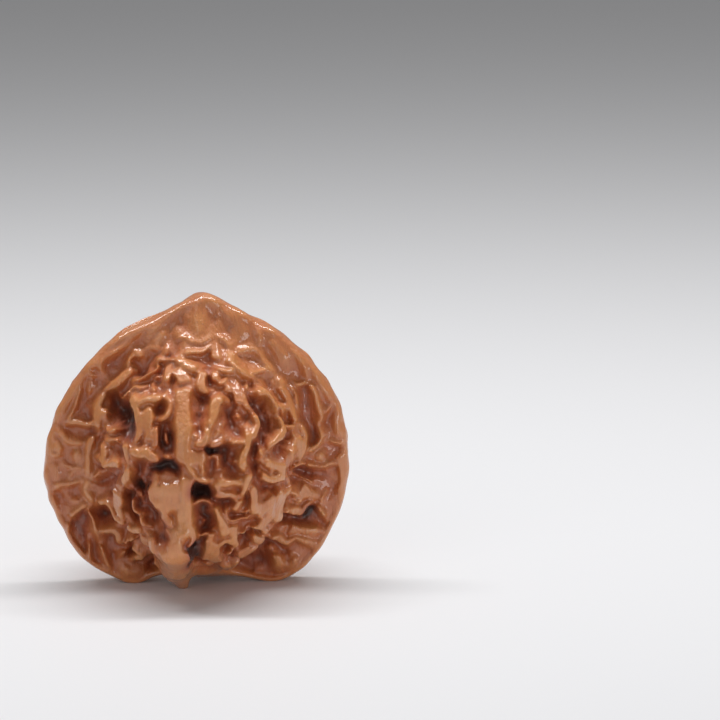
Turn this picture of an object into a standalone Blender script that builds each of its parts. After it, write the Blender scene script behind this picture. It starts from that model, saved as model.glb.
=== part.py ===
"""A wenwan walnut standing on its foot: a flange round its seam, a point, a keel and a deep net of ridges.

X runs across the flange, Z is up, and the keeled face looks along -Y. The origin is on the ground under the
nut's middle. The forms are worked out in millimetres, and the mesh is made in metres.
"""

import math

import bmesh
import bpy
import numpy as np

MM = 0.001

# Main forms
BELLY_CENTRE = (0.3, 0.0, 19.9)
BELLY_RADII = (15.7, 17.4, 17.9)
FLANGE_EDGE_HALF = 2.0      # half the flange's thickness at its edge
FLANGE_SWELL = 0.26         # how much half its thickness grows for each millimetre inwards
FLANGE_SWELL_REACH = 9.0
FLANGE_ROUND = 1.5          # radius of the flange's edge
POINT_TOP = (1.1, 0.0, 42.6)
POINT_FOOT = (0.4, 0.0, 33.0)
POINT_RADII = (0.6, 8.6)    # the cone under the point, at its top and at its foot
KEEL_TOP = (-3.4, -13.2, 10.5)
KEEL_MIDDLE = (-3.3, -7.6, 5.4)
KEEL_TIP = (-2.25, -3.9, 0.9)
KEEL_RADII = (4.0, 2.75, 0.85)    # where the keel leaves the belly, in its middle, and at its tip
BLEND = 3.2                 # how softly these forms run into each other
POINT_BLEND = 3.7           # the same for the cone under the point
KEEL_BLEND = 1.3            # the same for the keel
KEEL_BEND = 0.5             # the same for the keel's two parts
MIDDLE = (0.0, 0.0, 20.0)   # every form is seen whole from here
GROUND = 0.6                # where the foot is cut flat, in the sketch's height

# The net was sketched on the flange's plane, y = 0, as seen from here
EYE = (0.0, -545.1, 150.67)

# The flange's outline on that plane, anticlockwise from its right side
OUTLINE = (
    (23.0, 18.5), (22.9, 21.5), (22.7, 23.8), (22.2, 26.3), (21.4, 28.6), (20.4, 30.9), (19.0, 32.9),
    (17.3, 35.0), (15.0, 37.3), (12.2, 39.6), (9.2, 41.3), (5.8, 43.2), (3.0, 44.6), (1.1, 45.3),
    (-0.9, 44.6), (-3.5, 43.3), (-6.2, 41.8), (-9.4, 40.3), (-12.6, 38.3), (-15.2, 35.9), (-17.4, 33.6),
    (-19.2, 31.0), (-20.6, 28.4), (-21.7, 26.0), (-22.4, 23.5), (-22.9, 20.6), (-23.1, 17.8),
    (-22.9, 15.4), (-22.2, 13.0), (-20.9, 10.0), (-19.4, 7.0), (-17.2, 4.2), (-15.0, 2.6), (-12.6, 1.3),
    (-10.6, 0.4), (-8.6, 0.5), (-6.6, 1.5), (-4.4, 2.3), (0.0, 2.4), (4.0, 2.1), (6.6, 1.4), (8.8, 0.8),
    (11.2, 0.4), (13.4, 0.9), (15.8, 2.4), (18.3, 5.0), (20.0, 7.9), (21.3, 10.6), (22.2, 13.3),
    (22.8, 16.0),
)

# The kinds of ridge: half the width of its top, and how steep its sides are
KINDS = {
    "band": (1.2, 1.0),
    "lobe": (0.85, 0.8),
    "ridge": (0.45, 1.0),
    "crest": (0.18, 1.2),
    "line": (0.02, 3.0),
}

# The ridges of the keeled face: kind, height over the main forms, then the points it runs through
RIDGES = (
    # The point and the shoulders under it
    ("band", 0.1, (1.0, 44.6), (0.8, 42.4), (0.4, 40.4), (0.3, 38.9)),
    ("lobe", 0.0, (-1.9, 43.6), (-4.4, 41.6), (-6.2, 39.6), (-7.4, 38.2)),
    ("lobe", 0.0, (-5.2, 41.0), (-8.0, 39.6), (-10.2, 38.6)),
    ("lobe", -0.1, (-4.7, 39.6), (-5.6, 38.0), (-6.9, 37.4)),
    ("lobe", 0.0, (3.6, 43.4), (5.4, 41.6), (6.6, 39.8), (7.0, 38.0)),
    ("lobe", -0.1, (6.4, 42.0), (9.6, 40.2), (12.2, 38.6)),
    ("lobe", -0.1, (5.2, 40.4), (5.9, 38.6), (6.6, 37.2)),
    ("line", 0.1, (3.1, 43.2), (3.3, 41.4), (3.2, 40.0)),
    ("crest", 0.1, (-7.9, 36.6), (-6.5, 36.8), (-5.0, 36.6)),
    ("crest", 0.0, (-4.4, 37.6), (-4.5, 36.4), (-4.4, 35.4)),
    ("crest", 0.2, (-2.5, 38.3), (-1.6, 38.4), (-0.6, 37.9), (0.5, 37.8), (1.7, 38.1), (2.6, 38.6),
         (3.2, 39.0)),
    ("line", 0.2, (-1.8, 38.0), (-1.7, 37.2), (-1.4, 36.4)),
    ("line", 0.2, (-1.0, 37.8), (-1.0, 37.0), (-0.7, 36.4)),
    ("line", 0.2, (-0.2, 37.7), (-0.2, 36.9), (0.1, 36.3)),
    ("line", 0.2, (0.7, 37.8), (0.6, 37.0), (0.9, 36.5)),
    ("line", 0.2, (1.6, 38.0), (1.5, 37.3), (1.9, 36.7)),
    ("ridge", 0.4, (3.0, 39.0), (3.6, 38.5), (4.3, 38.0), (4.9, 37.6), (5.3, 36.6)),
    ("crest", 0.3, (2.7, 37.8), (2.1, 37.0), (1.5, 36.5), (0.7, 36.2), (-0.3, 36.2), (-1.2, 36.1),
         (-2.1, 35.7)),
    # Upper left of the belly
    ("ridge", 0.5, (-2.1, 35.7), (-2.6, 35.2), (-2.2, 34.5), (-1.5, 34.2), (-0.9, 33.8), (0.0, 33.5),
         (0.6, 33.4)),
    ("crest", 0.3, (-2.7, 35.0), (-3.6, 35.1), (-4.6, 35.1), (-5.4, 35.2), (-5.9, 34.8), (-6.3, 34.6)),
    ("crest", 0.3, (-5.9, 34.8), (-5.9, 34.0), (-6.3, 33.4), (-7.2, 33.0), (-8.0, 32.5), (-8.9, 32.0),
         (-9.8, 31.8)),
    ("lobe", 0.0, (-2.6, 34.3), (-2.5, 33.3), (-1.8, 32.4), (-1.4, 31.2)),
    ("line", 0.1, (-1.4, 32.6), (-0.8, 32.8), (-0.3, 33.0)),
    ("crest", -0.1, (-6.8, 32.5), (-6.0, 32.4), (-5.2, 32.7)),
    ("ridge", 0.0, (-4.4, 34.6), (-4.1, 33.6), (-4.4, 32.4), (-5.0, 31.3)),
    ("crest", -0.2, (-6.9, 31.4), (-6.6, 30.4), (-6.4, 29.6)),
    ("ridge", 0.1, (-14.4, 30.2), (-13.4, 30.7), (-12.5, 31.4), (-11.4, 32.3), (-10.2, 33.0), (-9.2, 33.5)),
    ("crest", 0.2, (-11.5, 29.3), (-10.7, 29.6), (-10.1, 30.2), (-9.5, 30.8), (-8.5, 30.6), (-7.8, 30.9)),
    ("ridge", 0.6, (-9.9, 29.4), (-9.3, 28.6), (-8.6, 28.5), (-7.6, 28.9), (-6.6, 29.1), (-5.8, 29.0),
         (-4.9, 29.4)),
    ("crest", 0.2, (-4.9, 29.4), (-4.2, 28.9), (-3.9, 28.0), (-4.0, 27.0), (-4.4, 26.3), (-5.1, 25.7),
         (-6.0, 25.6)),
    ("crest", 0.2, (-6.0, 25.6), (-6.9, 25.9), (-7.3, 26.5)),
    # The left flange
    ("crest", 0.3, (-9.2, 39.2), (-10.0, 38.2), (-10.8, 37.2), (-12.2, 36.2), (-13.6, 35.5), (-14.2, 34.4),
         (-14.0, 33.0)),
    ("lobe", 0.0, (-12.4, 37.6), (-14.6, 35.9), (-16.6, 33.6), (-18.2, 31.2), (-19.6, 28.6), (-20.6, 26.4)),
    ("lobe", -0.1, (-7.6, 36.2), (-8.9, 35.9), (-9.8, 36.9)),
    ("ridge", 0.0, (-8.4, 35.8), (-9.6, 35.4), (-10.2, 34.4), (-9.8, 33.7)),
    ("crest", 0.2, (-14.2, 34.0), (-15.4, 34.4), (-16.2, 33.5), (-15.6, 32.6), (-14.5, 32.6)),
    ("crest", 0.2, (-17.0, 33.0), (-17.5, 31.4), (-17.8, 30.0), (-18.2, 28.4), (-18.8, 26.6),
         (-19.6, 25.2)),
    ("crest", 0.1, (-15.4, 32.5), (-16.1, 30.9), (-16.2, 29.5)),
    ("ridge", 0.2, (-19.6, 25.3), (-18.2, 25.5), (-17.0, 25.2), (-16.0, 25.2), (-15.1, 25.4)),
    ("ridge", 0.0, (-21.6, 24.2), (-20.4, 23.6), (-19.8, 22.7), (-18.8, 22.2), (-17.6, 22.2),
         (-16.6, 22.5)),
    ("lobe", 0.1, (-21.6, 22.8), (-21.0, 21.6), (-20.4, 20.6)),
    ("crest", 0.2, (-22.0, 22.4), (-21.9, 21.2), (-21.8, 20.4), (-20.9, 20.4), (-20.1, 20.5)),
    ("lobe", 0.0, (-21.8, 19.4), (-21.4, 17.6), (-20.6, 16.4)),
    ("crest", 0.1, (-20.2, 19.2), (-19.4, 18.6), (-18.6, 18.3), (-17.2, 18.4)),
    ("lobe", 0.0, (-18.3, 21.6), (-17.9, 20.4), (-17.7, 19.2)),
    ("crest", 0.1, (-19.3, 15.9), (-19.2, 17.0), (-18.7, 17.7), (-17.8, 17.7)),
    ("ridge", 0.2, (-21.8, 15.2), (-20.9, 15.8), (-20.1, 15.9), (-19.2, 15.8), (-18.2, 16.2),
         (-17.2, 16.6)),
    ("crest", 0.0, (-22.2, 14.4), (-21.7, 12.8), (-20.8, 11.4)),
    ("crest", 0.0, (-19.6, 13.8), (-18.4, 13.2), (-17.2, 13.6)),
    ("ridge", 0.3, (-19.6, 10.2), (-18.8, 11.2), (-17.8, 12.0), (-17.0, 12.5), (-16.2, 12.5)),
    ("ridge", 0.2, (-19.5, 10.3), (-19.9, 9.0), (-19.6, 7.6), (-18.9, 6.3), (-17.9, 5.0)),
    ("crest", 0.3, (-16.5, 12.4), (-16.4, 11.5), (-15.9, 10.5), (-15.5, 9.4), (-15.2, 8.2), (-15.0, 6.8)),
    ("crest", 0.3, (-15.0, 6.8), (-14.6, 5.6), (-14.1, 4.4), (-13.8, 3.3), (-13.4, 2.3)),
    ("crest", 0.0, (-16.6, 7.4), (-16.6, 6.0), (-16.7, 4.8), (-16.3, 3.6)),
    # The left side of the belly
    ("ridge", 0.2, (-13.6, 30.3), (-14.4, 29.0), (-14.9, 27.6), (-15.1, 26.2), (-15.0, 25.0),
         (-15.2, 23.8)),
    ("ridge", 0.2, (-15.2, 23.8), (-15.9, 22.6), (-16.3, 21.4), (-16.5, 19.8), (-16.7, 18.4),
         (-16.6, 17.0)),
    ("ridge", 0.2, (-16.6, 17.0), (-16.7, 15.8), (-16.6, 14.7), (-16.1, 13.6), (-15.3, 12.8)),
    ("lobe", 0.0, (-14.0, 28.0), (-14.3, 26.8), (-14.0, 25.4)),
    ("crest", 0.2, (-14.0, 25.2), (-13.5, 24.2), (-12.6, 24.2), (-11.8, 24.6)),
    ("crest", 0.2, (-14.3, 22.7), (-13.4, 22.7), (-12.4, 22.8), (-11.5, 22.6)),
    ("lobe", 0.3, (-14.0, 22.4), (-14.3, 21.2), (-14.1, 20.0), (-13.7, 19.1)),
    ("ridge", 0.5, (-15.3, 20.2), (-14.6, 19.7), (-14.0, 18.9), (-13.2, 18.8), (-12.3, 18.9),
         (-11.3, 18.6)),
    ("ridge", 0.2, (-11.0, 22.6), (-10.8, 21.4), (-10.7, 20.0), (-10.6, 18.8)),
    ("lobe", 0.4, (-10.6, 18.8), (-10.6, 17.6), (-10.7, 16.4), (-10.4, 15.4)),
    ("crest", 0.0, (-16.2, 17.1), (-15.3, 17.2), (-14.7, 17.6)),
    ("lobe", 0.2, (-12.0, 15.0), (-12.2, 13.6), (-12.4, 12.2), (-11.7, 11.0), (-11.0, 10.4)),
    ("ridge", 0.2, (-15.3, 12.7), (-14.5, 13.0), (-13.8, 12.8), (-13.2, 12.0), (-12.7, 11.0), (-12.0, 10.1),
         (-11.0, 9.9)),
    ("ridge", 0.2, (-15.2, 8.4), (-14.0, 8.4), (-12.8, 8.4), (-12.1, 7.8), (-11.9, 6.8), (-11.3, 5.9)),
    ("crest", 0.1, (-12.2, 4.2), (-11.4, 4.8), (-10.8, 5.4)),
    ("crest", 0.1, (-11.4, 6.3), (-10.6, 6.7), (-9.6, 7.0)),
    ("ridge", 0.3, (-10.4, 9.8), (-10.4, 8.9), (-9.7, 8.5), (-8.8, 8.6), (-8.1, 8.3)),
    ("crest", 0.1, (-9.7, 14.0), (-9.8, 13.0), (-9.7, 12.0), (-9.2, 11.3), (-8.5, 11.1)),
    ("ridge", 0.2, (-9.2, 14.4), (-8.6, 14.0), (-7.9, 13.6)),
    ("crest", 0.2, (-8.5, 11.1), (-8.6, 10.2), (-8.2, 9.5), (-7.4, 9.1)),
    ("ridge", 0.2, (-9.8, 6.1), (-9.4, 5.4), (-8.9, 4.9), (-8.6, 4.3), (-9.2, 4.1), (-9.9, 3.8)),
    ("lobe", 0.1, (-7.9, 7.6), (-7.8, 6.4), (-7.0, 5.8), (-6.2, 5.4)),
    ("lobe", -0.1, (-11.8, 3.4), (-11.0, 2.2), (-9.8, 1.6)),
    # The bone-shaped lobe left of the keel
    ("ridge", 0.5, (-9.8, 28.7), (-9.1, 27.8), (-8.9, 26.4), (-8.7, 25.0), (-8.8, 23.8), (-9.2, 22.7),
         (-9.8, 21.8)),
    ("lobe", 0.3, (-8.0, 27.6), (-7.7, 26.2), (-7.5, 24.6), (-7.4, 23.0), (-7.6, 21.8)),
    ("ridge", 0.3, (-6.4, 25.2), (-6.1, 24.2), (-6.1, 23.0), (-6.2, 21.8), (-5.9, 20.9)),
    ("ridge", 0.6, (-10.1, 21.6), (-9.6, 20.8), (-8.7, 20.4), (-7.7, 20.5), (-6.9, 20.0), (-6.2, 19.8),
         (-5.4, 20.4)),
    ("crest", 0.1, (-5.4, 20.4), (-4.6, 20.0), (-3.9, 19.7), (-3.3, 19.8)),
    ("crest", -0.8, (-4.4, 24.4), (-4.5, 23.0), (-4.2, 21.4)),
    ("lobe", -0.9, (-7.4, 17.8), (-6.8, 17.0), (-7.6, 16.2)),
    # The keel, from the shoulder to its tip
    ("ridge", 0.5, (-1.3, 31.2), (-1.5, 29.4), (-1.6, 27.8), (-1.6, 26.0), (-1.7, 24.4), (-1.6, 22.8),
         (-1.7, 21.0)),
    ("crest", 0.3, (-2.4, 30.8), (-2.5, 28.6), (-2.5, 26.6), (-2.7, 24.8)),
    ("lobe", 0.2, (-2.1, 31.0), (-2.1, 28.4), (-2.1, 25.6), (-2.1, 22.8), (-2.0, 20.4), (-1.9, 18.4)),
    ("crest", 0.5, (-2.9, 24.5), (-2.8, 23.7), (-2.5, 22.6), (-2.5, 21.5), (-2.7, 20.6), (-2.4, 19.4),
         (-2.1, 18.2)),
    ("crest", 0.7, (-1.7, 21.0), (-1.6, 19.4), (-1.2, 18.2), (-0.8, 17.2), (-0.2, 16.4), (0.8, 16.2),
         (2.3, 16.2)),
    ("band", 0.2, (-4.2, 16.4), (-4.2, 14.8), (-4.0, 13.0), (-3.2, 11.0)),
    ("lobe", 0.4, (-5.6, 16.2), (-6.0, 14.6), (-5.8, 13.2), (-5.0, 12.0), (-4.0, 10.6)),
    ("lobe", 0.7, (-1.6, 17.0), (-1.7, 15.0), (-1.7, 13.0), (-1.7, 11.0), (-1.9, 9.0), (-2.2, 7.0)),
    ("ridge", 0.8, (-6.0, 17.3), (-6.3, 16.2), (-6.7, 15.0), (-7.1, 14.0), (-7.0, 13.1), (-6.2, 12.3),
         (-5.5, 11.4)),
    ("ridge", 0.8, (-5.5, 11.4), (-4.9, 10.4), (-4.2, 9.6), (-3.3, 9.2)),
    ("lobe", 0.4, (-3.1, 9.4), (-3.4, 7.6), (-3.2, 6.0), (-2.9, 4.4), (-2.6, 2.4), (-2.4, 0.6)),
    ("lobe", 0.2, (-5.4, 5.4), (-4.6, 4.4), (-4.0, 3.0), (-3.2, 1.6)),
    ("ridge", 0.2, (-2.0, 5.4), (-1.8, 4.0), (-1.9, 2.6), (-2.1, 1.0)),
    ("ridge", 0.4, (-1.3, 9.6), (-0.9, 8.4), (-0.7, 7.2), (-1.1, 6.2), (-1.9, 5.6)),
    ("crest", 0.2, (-5.1, 9.4), (-4.4, 8.3), (-4.0, 7.2), (-4.6, 5.8)),
    # Right of the keel
    ("crest", 0.1, (-0.9, 23.6), (-0.3, 23.4), (0.3, 22.9)),
    ("ridge", 0.4, (-0.8, 22.1), (0.2, 22.0), (0.8, 22.1), (1.2, 22.8), (1.6, 23.5), (1.6, 24.3),
         (1.6, 25.0)),
    ("crest", 0.3, (0.9, 21.8), (0.9, 20.4), (0.9, 18.8), (1.0, 17.4), (1.2, 16.4)),
    ("band", -0.1, (0.0, 21.4), (0.0, 19.8), (0.2, 18.0)),
    ("ridge", 0.6, (4.5, 28.7), (3.6, 28.8), (2.9, 28.3), (2.7, 27.3), (2.4, 26.3), (2.2, 25.3),
         (1.8, 24.2)),
    ("crest", 0.3, (3.3, 28.0), (3.1, 27.2), (2.8, 26.4)),
    ("crest", 0.3, (1.8, 23.3), (2.6, 23.0), (3.3, 23.2), (3.6, 23.9), (3.4, 24.8)),
    ("ridge", 0.2, (1.2, 21.9), (2.2, 22.0), (3.2, 22.1), (4.0, 22.5), (4.6, 22.5)),
    ("crest", 0.4, (4.5, 22.6), (5.1, 22.2), (6.0, 22.1), (6.9, 22.1), (7.7, 22.3)),
    ("crest", -0.6, (1.7, 19.5), (2.4, 20.0), (3.1, 20.1), (3.2, 19.0), (3.0, 17.8)),
    ("crest", -0.4, (5.1, 19.7), (5.8, 19.3), (6.8, 19.4)),
    ("ridge", 0.6, (7.9, 24.3), (7.9, 23.1), (7.7, 22.0), (7.6, 20.8), (7.1, 19.6), (7.1, 18.5),
         (7.7, 17.7)),
    ("ridge", 0.6, (7.7, 17.7), (7.9, 17.0), (7.5, 16.1), (7.2, 15.2), (6.8, 14.0), (6.2, 13.2)),
    ("ridge", 0.4, (3.4, 17.0), (3.8, 16.0), (4.6, 15.7), (5.6, 15.8), (6.6, 15.6), (7.2, 15.6)),
    ("crest", 0.3, (2.3, 16.2), (3.0, 15.4), (3.5, 14.5), (4.3, 14.1), (5.2, 14.2), (6.0, 14.6)),
    ("ridge", 0.4, (2.8, 15.0), (3.2, 14.2), (4.2, 13.9), (5.2, 14.0), (5.8, 13.5), (6.4, 13.3)),
    ("crest", -0.3, (6.1, 27.1), (6.4, 26.2), (6.9, 25.5)),
    ("crest", -0.3, (4.2, 25.4), (3.8, 24.6)),
    ("ridge", 0.2, (5.5, 30.1), (6.4, 29.9), (7.1, 29.7), (7.4, 28.9), (7.7, 28.0), (8.4, 27.1)),
    ("ridge", 0.4, (8.4, 27.1), (8.9, 26.0), (9.2, 25.0), (9.0, 24.0), (8.6, 23.2), (7.9, 22.6)),
    ("lobe", -0.1, (5.8, 31.6), (6.1, 30.6), (6.6, 29.0), (7.1, 27.6)),
    ("crest", 0.1, (6.2, 32.0), (6.4, 31.0), (6.3, 30.2)),
    ("crest", 0.2, (7.7, 31.6), (7.7, 30.6), (7.6, 29.8)),
    ("ridge", 0.0, (4.9, 31.8), (4.8, 30.6), (4.7, 29.4)),
    # Under the right shoulder
    ("lobe", 0.1, (2.9, 38.0), (3.2, 36.8), (3.3, 35.6), (3.2, 34.6)),
    ("ridge", 0.7, (5.3, 36.6), (5.2, 35.4), (5.5, 34.3), (6.0, 33.7), (6.8, 33.0), (7.6, 32.6),
         (8.4, 32.4)),
    ("crest", 0.4, (2.9, 34.0), (3.6, 33.4), (4.4, 33.2), (5.3, 33.1), (5.9, 33.6)),
    ("ridge", 0.2, (0.9, 33.6), (0.9, 32.4), (0.7, 31.2), (1.2, 30.3), (2.2, 30.4)),
    ("crest", 0.2, (2.6, 31.1), (3.4, 31.3), (4.3, 31.7), (4.7, 32.5)),
    ("ridge", 0.0, (2.6, 33.6), (2.7, 32.4), (2.5, 31.2)),
    ("crest", 0.3, (8.0, 32.8), (9.2, 33.0), (10.3, 33.2), (11.0, 33.4)),
    # The right side of the belly
    ("ridge", 0.6, (8.6, 29.9), (9.5, 29.8), (10.2, 29.9), (10.8, 29.3), (11.4, 28.5), (12.0, 27.5),
         (12.5, 26.4)),
    ("ridge", 0.6, (12.5, 26.4), (12.9, 25.2), (13.2, 24.2), (12.9, 23.3), (12.2, 22.4), (11.3, 21.6),
         (10.3, 20.9)),
    ("ridge", 0.4, (10.3, 20.9), (9.6, 20.4), (9.2, 19.6)),
    ("ridge", 0.3, (12.2, 31.2), (13.0, 30.2), (13.8, 29.0), (14.2, 27.8), (14.6, 26.6), (14.9, 25.6),
         (15.2, 24.6)),
    ("crest", 0.2, (13.6, 31.0), (14.4, 30.4), (14.9, 29.4), (15.1, 28.2), (15.4, 27.0)),
    ("crest", 0.4, (13.1, 24.9), (13.8, 24.6), (14.6, 24.5), (15.2, 24.7)),
    ("lobe", 0.1, (13.0, 28.6), (13.4, 27.4), (13.9, 26.4)),
    ("ridge", 0.3, (15.3, 24.5), (16.2, 24.0), (16.6, 23.2), (16.4, 22.2), (16.2, 21.2), (15.8, 20.0),
         (15.3, 19.0)),
    ("lobe", 0.4, (15.0, 23.4), (15.2, 22.2), (14.9, 21.0), (14.5, 20.0), (14.1, 19.0)),
    ("crest", 0.3, (15.3, 19.0), (15.2, 18.2), (16.0, 18.7), (16.8, 18.5)),
    ("ridge", 0.4, (10.2, 19.4), (11.0, 18.8), (11.9, 18.3), (12.8, 17.8), (13.6, 17.3)),
    ("ridge", 0.6, (13.7, 17.0), (12.8, 16.5), (11.7, 16.1), (10.7, 16.1), (10.1, 16.5), (9.4, 17.2)),
    ("crest", 0.0, (10.8, 18.0), (11.4, 17.4), (12.0, 17.2)),
    ("lobe", 0.3, (12.6, 14.8), (12.6, 13.2), (12.4, 11.6), (12.3, 10.2), (11.7, 9.0)),
    ("lobe", 0.2, (11.0, 14.0), (11.3, 12.4), (11.2, 10.8), (10.8, 9.4)),
    ("lobe", 0.0, (10.2, 13.4), (9.9, 11.8), (10.2, 10.2)),
    ("ridge", 0.3, (14.3, 15.8), (14.2, 14.9), (13.6, 13.9), (13.0, 12.8), (12.9, 11.6)),
    ("ridge", 0.4, (7.5, 15.0), (8.3, 14.6), (8.6, 13.4), (8.6, 12.2), (8.6, 11.0), (8.4, 10.2)),
    ("crest", 0.2, (5.2, 11.8), (5.9, 11.4), (6.8, 11.0), (7.6, 11.3), (8.3, 11.8)),
    ("lobe", 0.1, (5.2, 12.8), (6.0, 12.3), (7.0, 12.0)),
    ("crest", 0.1, (4.3, 12.4), (4.4, 11.4), (4.6, 10.5), (5.1, 9.9), (6.0, 10.0), (7.0, 10.2),
         (8.2, 10.2)),
    ("lobe", 0.2, (8.8, 9.2), (9.8, 9.2), (10.8, 8.6)),
    ("ridge", 0.3, (7.9, 8.8), (8.8, 8.6), (9.8, 8.3), (10.8, 7.8)),
    ("crest", 0.2, (6.2, 8.1), (7.1, 8.0), (7.9, 8.6)),
    ("ridge", 0.3, (8.0, 7.6), (8.9, 7.0), (9.9, 6.6), (10.3, 7.0)),
    # Under the keel's right side
    ("crest", -0.2, (-0.4, 12.0), (0.1, 12.8), (0.9, 13.1), (1.8, 13.0), (2.4, 12.4)),
    ("ridge", 0.6, (2.5, 12.6), (2.8, 11.6), (3.1, 10.6), (3.5, 9.6), (3.9, 8.6), (4.1, 7.8), (3.7, 7.0)),
    ("crest", -0.7, (0.5, 10.5), (1.0, 10.0), (0.8, 9.3)),
    ("crest", -0.1, (0.1, 8.0), (0.7, 7.7), (1.5, 8.0), (2.3, 8.2)),
    ("ridge", 0.3, (5.9, 9.6), (5.6, 8.6), (5.6, 7.4), (5.8, 6.4), (6.2, 5.5)),
    ("ridge", 0.1, (2.5, 8.4), (2.0, 7.0), (1.8, 5.8), (1.5, 4.6), (1.4, 3.4)),
    ("lobe", 0.3, (3.4, 6.6), (2.8, 5.8), (2.5, 4.6), (2.8, 3.6), (3.4, 3.0)),
    ("ridge", 0.3, (3.2, 5.5), (3.8, 6.3), (4.5, 6.7), (5.2, 6.5), (5.7, 6.0)),
    ("crest", 0.1, (3.7, 4.3), (4.5, 4.5), (5.2, 4.9), (5.9, 5.2)),
    ("lobe", 0.1, (7.0, 5.4), (7.6, 4.6), (8.3, 5.0), (8.7, 5.8)),
    ("ridge", 0.0, (3.8, 2.6), (4.6, 2.2), (5.4, 2.6), (6.2, 3.2), (7.0, 3.6)),
    ("lobe", 0.0, (0.6, 2.4), (1.6, 2.6), (2.4, 2.8)),
    # The right flange
    ("crest", 0.2, (9.0, 40.4), (9.3, 39.2), (9.6, 38.0), (9.4, 36.8)),
    ("ridge", 0.2, (5.8, 36.3), (7.2, 36.5), (8.6, 36.4), (9.5, 35.6), (10.1, 34.6), (11.0, 33.5),
         (11.9, 32.4)),
    ("ridge", 0.2, (11.9, 32.4), (12.8, 31.3), (13.8, 30.8)),
    ("lobe", 0.0, (11.0, 38.0), (12.0, 36.6), (12.8, 35.2), (13.6, 33.8)),
    ("crest", 0.3, (12.9, 38.3), (14.2, 37.2), (15.1, 35.8), (16.0, 34.4), (16.7, 32.9), (17.0, 31.6)),
    ("crest", 0.2, (17.0, 31.6), (16.2, 31.0), (15.2, 30.9), (14.6, 31.6)),
    ("lobe", 0.0, (14.4, 37.4), (16.8, 34.6), (18.6, 31.8), (19.8, 29.4), (20.4, 28.0)),
    ("ridge", 0.3, (16.9, 31.2), (17.7, 29.8), (18.3, 28.2), (18.7, 26.8), (18.9, 26.0), (18.5, 24.9)),
    ("ridge", 0.3, (18.5, 24.9), (18.9, 23.6), (18.9, 22.4), (18.3, 21.4), (17.2, 21.0), (16.6, 21.4)),
    ("crest", 0.1, (19.0, 26.5), (19.7, 27.0), (20.2, 28.0), (20.4, 29.0)),
    ("lobe", 0.1, (21.0, 26.8), (21.5, 25.2), (21.6, 23.8), (21.4, 22.6)),
    ("crest", 0.2, (22.4, 24.8), (22.5, 23.4), (22.2, 22.1), (21.6, 21.7), (20.6, 21.9), (19.4, 21.9)),
    ("lobe", -0.1, (17.8, 20.2), (18.8, 19.6), (19.4, 19.0)),
    ("crest", 0.1, (16.2, 18.7), (17.6, 18.3), (19.0, 18.2), (20.2, 18.7), (21.6, 18.5)),
    ("lobe", 0.0, (21.8, 20.6), (21.9, 18.4), (21.8, 16.0), (21.4, 13.8)),
    ("line", -0.1, (15.0, 17.0), (16.8, 16.1), (18.2, 15.1)),
    ("lobe", -0.1, (15.4, 14.6), (17.2, 13.8), (18.8, 13.4)),
    ("crest", 0.0, (19.6, 14.2), (19.0, 13.0), (19.4, 12.2)),
    ("crest", 0.1, (13.3, 13.6), (14.1, 14.0), (15.0, 13.8), (15.4, 13.0)),
    ("ridge", 0.3, (13.2, 11.2), (14.2, 11.2), (15.2, 11.2), (16.0, 11.1), (16.5, 11.9), (17.2, 12.5),
         (18.0, 12.5)),
    ("ridge", 0.3, (18.0, 12.5), (18.7, 11.7), (19.3, 10.7), (19.8, 9.8)),
    ("crest", 0.1, (14.8, 12.6), (15.6, 12.7), (16.4, 12.8)),
    ("lobe", 0.0, (13.8, 8.2), (15.6, 8.2), (17.6, 8.0), (19.0, 8.0)),
    ("ridge", 0.3, (11.2, 7.0), (12.2, 7.1), (12.9, 6.6), (13.5, 6.2), (14.2, 6.5), (15.0, 6.9),
         (16.0, 6.4), (17.2, 6.0)),
    ("lobe", 0.0, (11.8, 5.0), (12.2, 3.6), (12.4, 2.2)),
    ("lobe", 0.0, (14.4, 4.6), (14.8, 3.6), (14.0, 2.6)),
)

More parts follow.
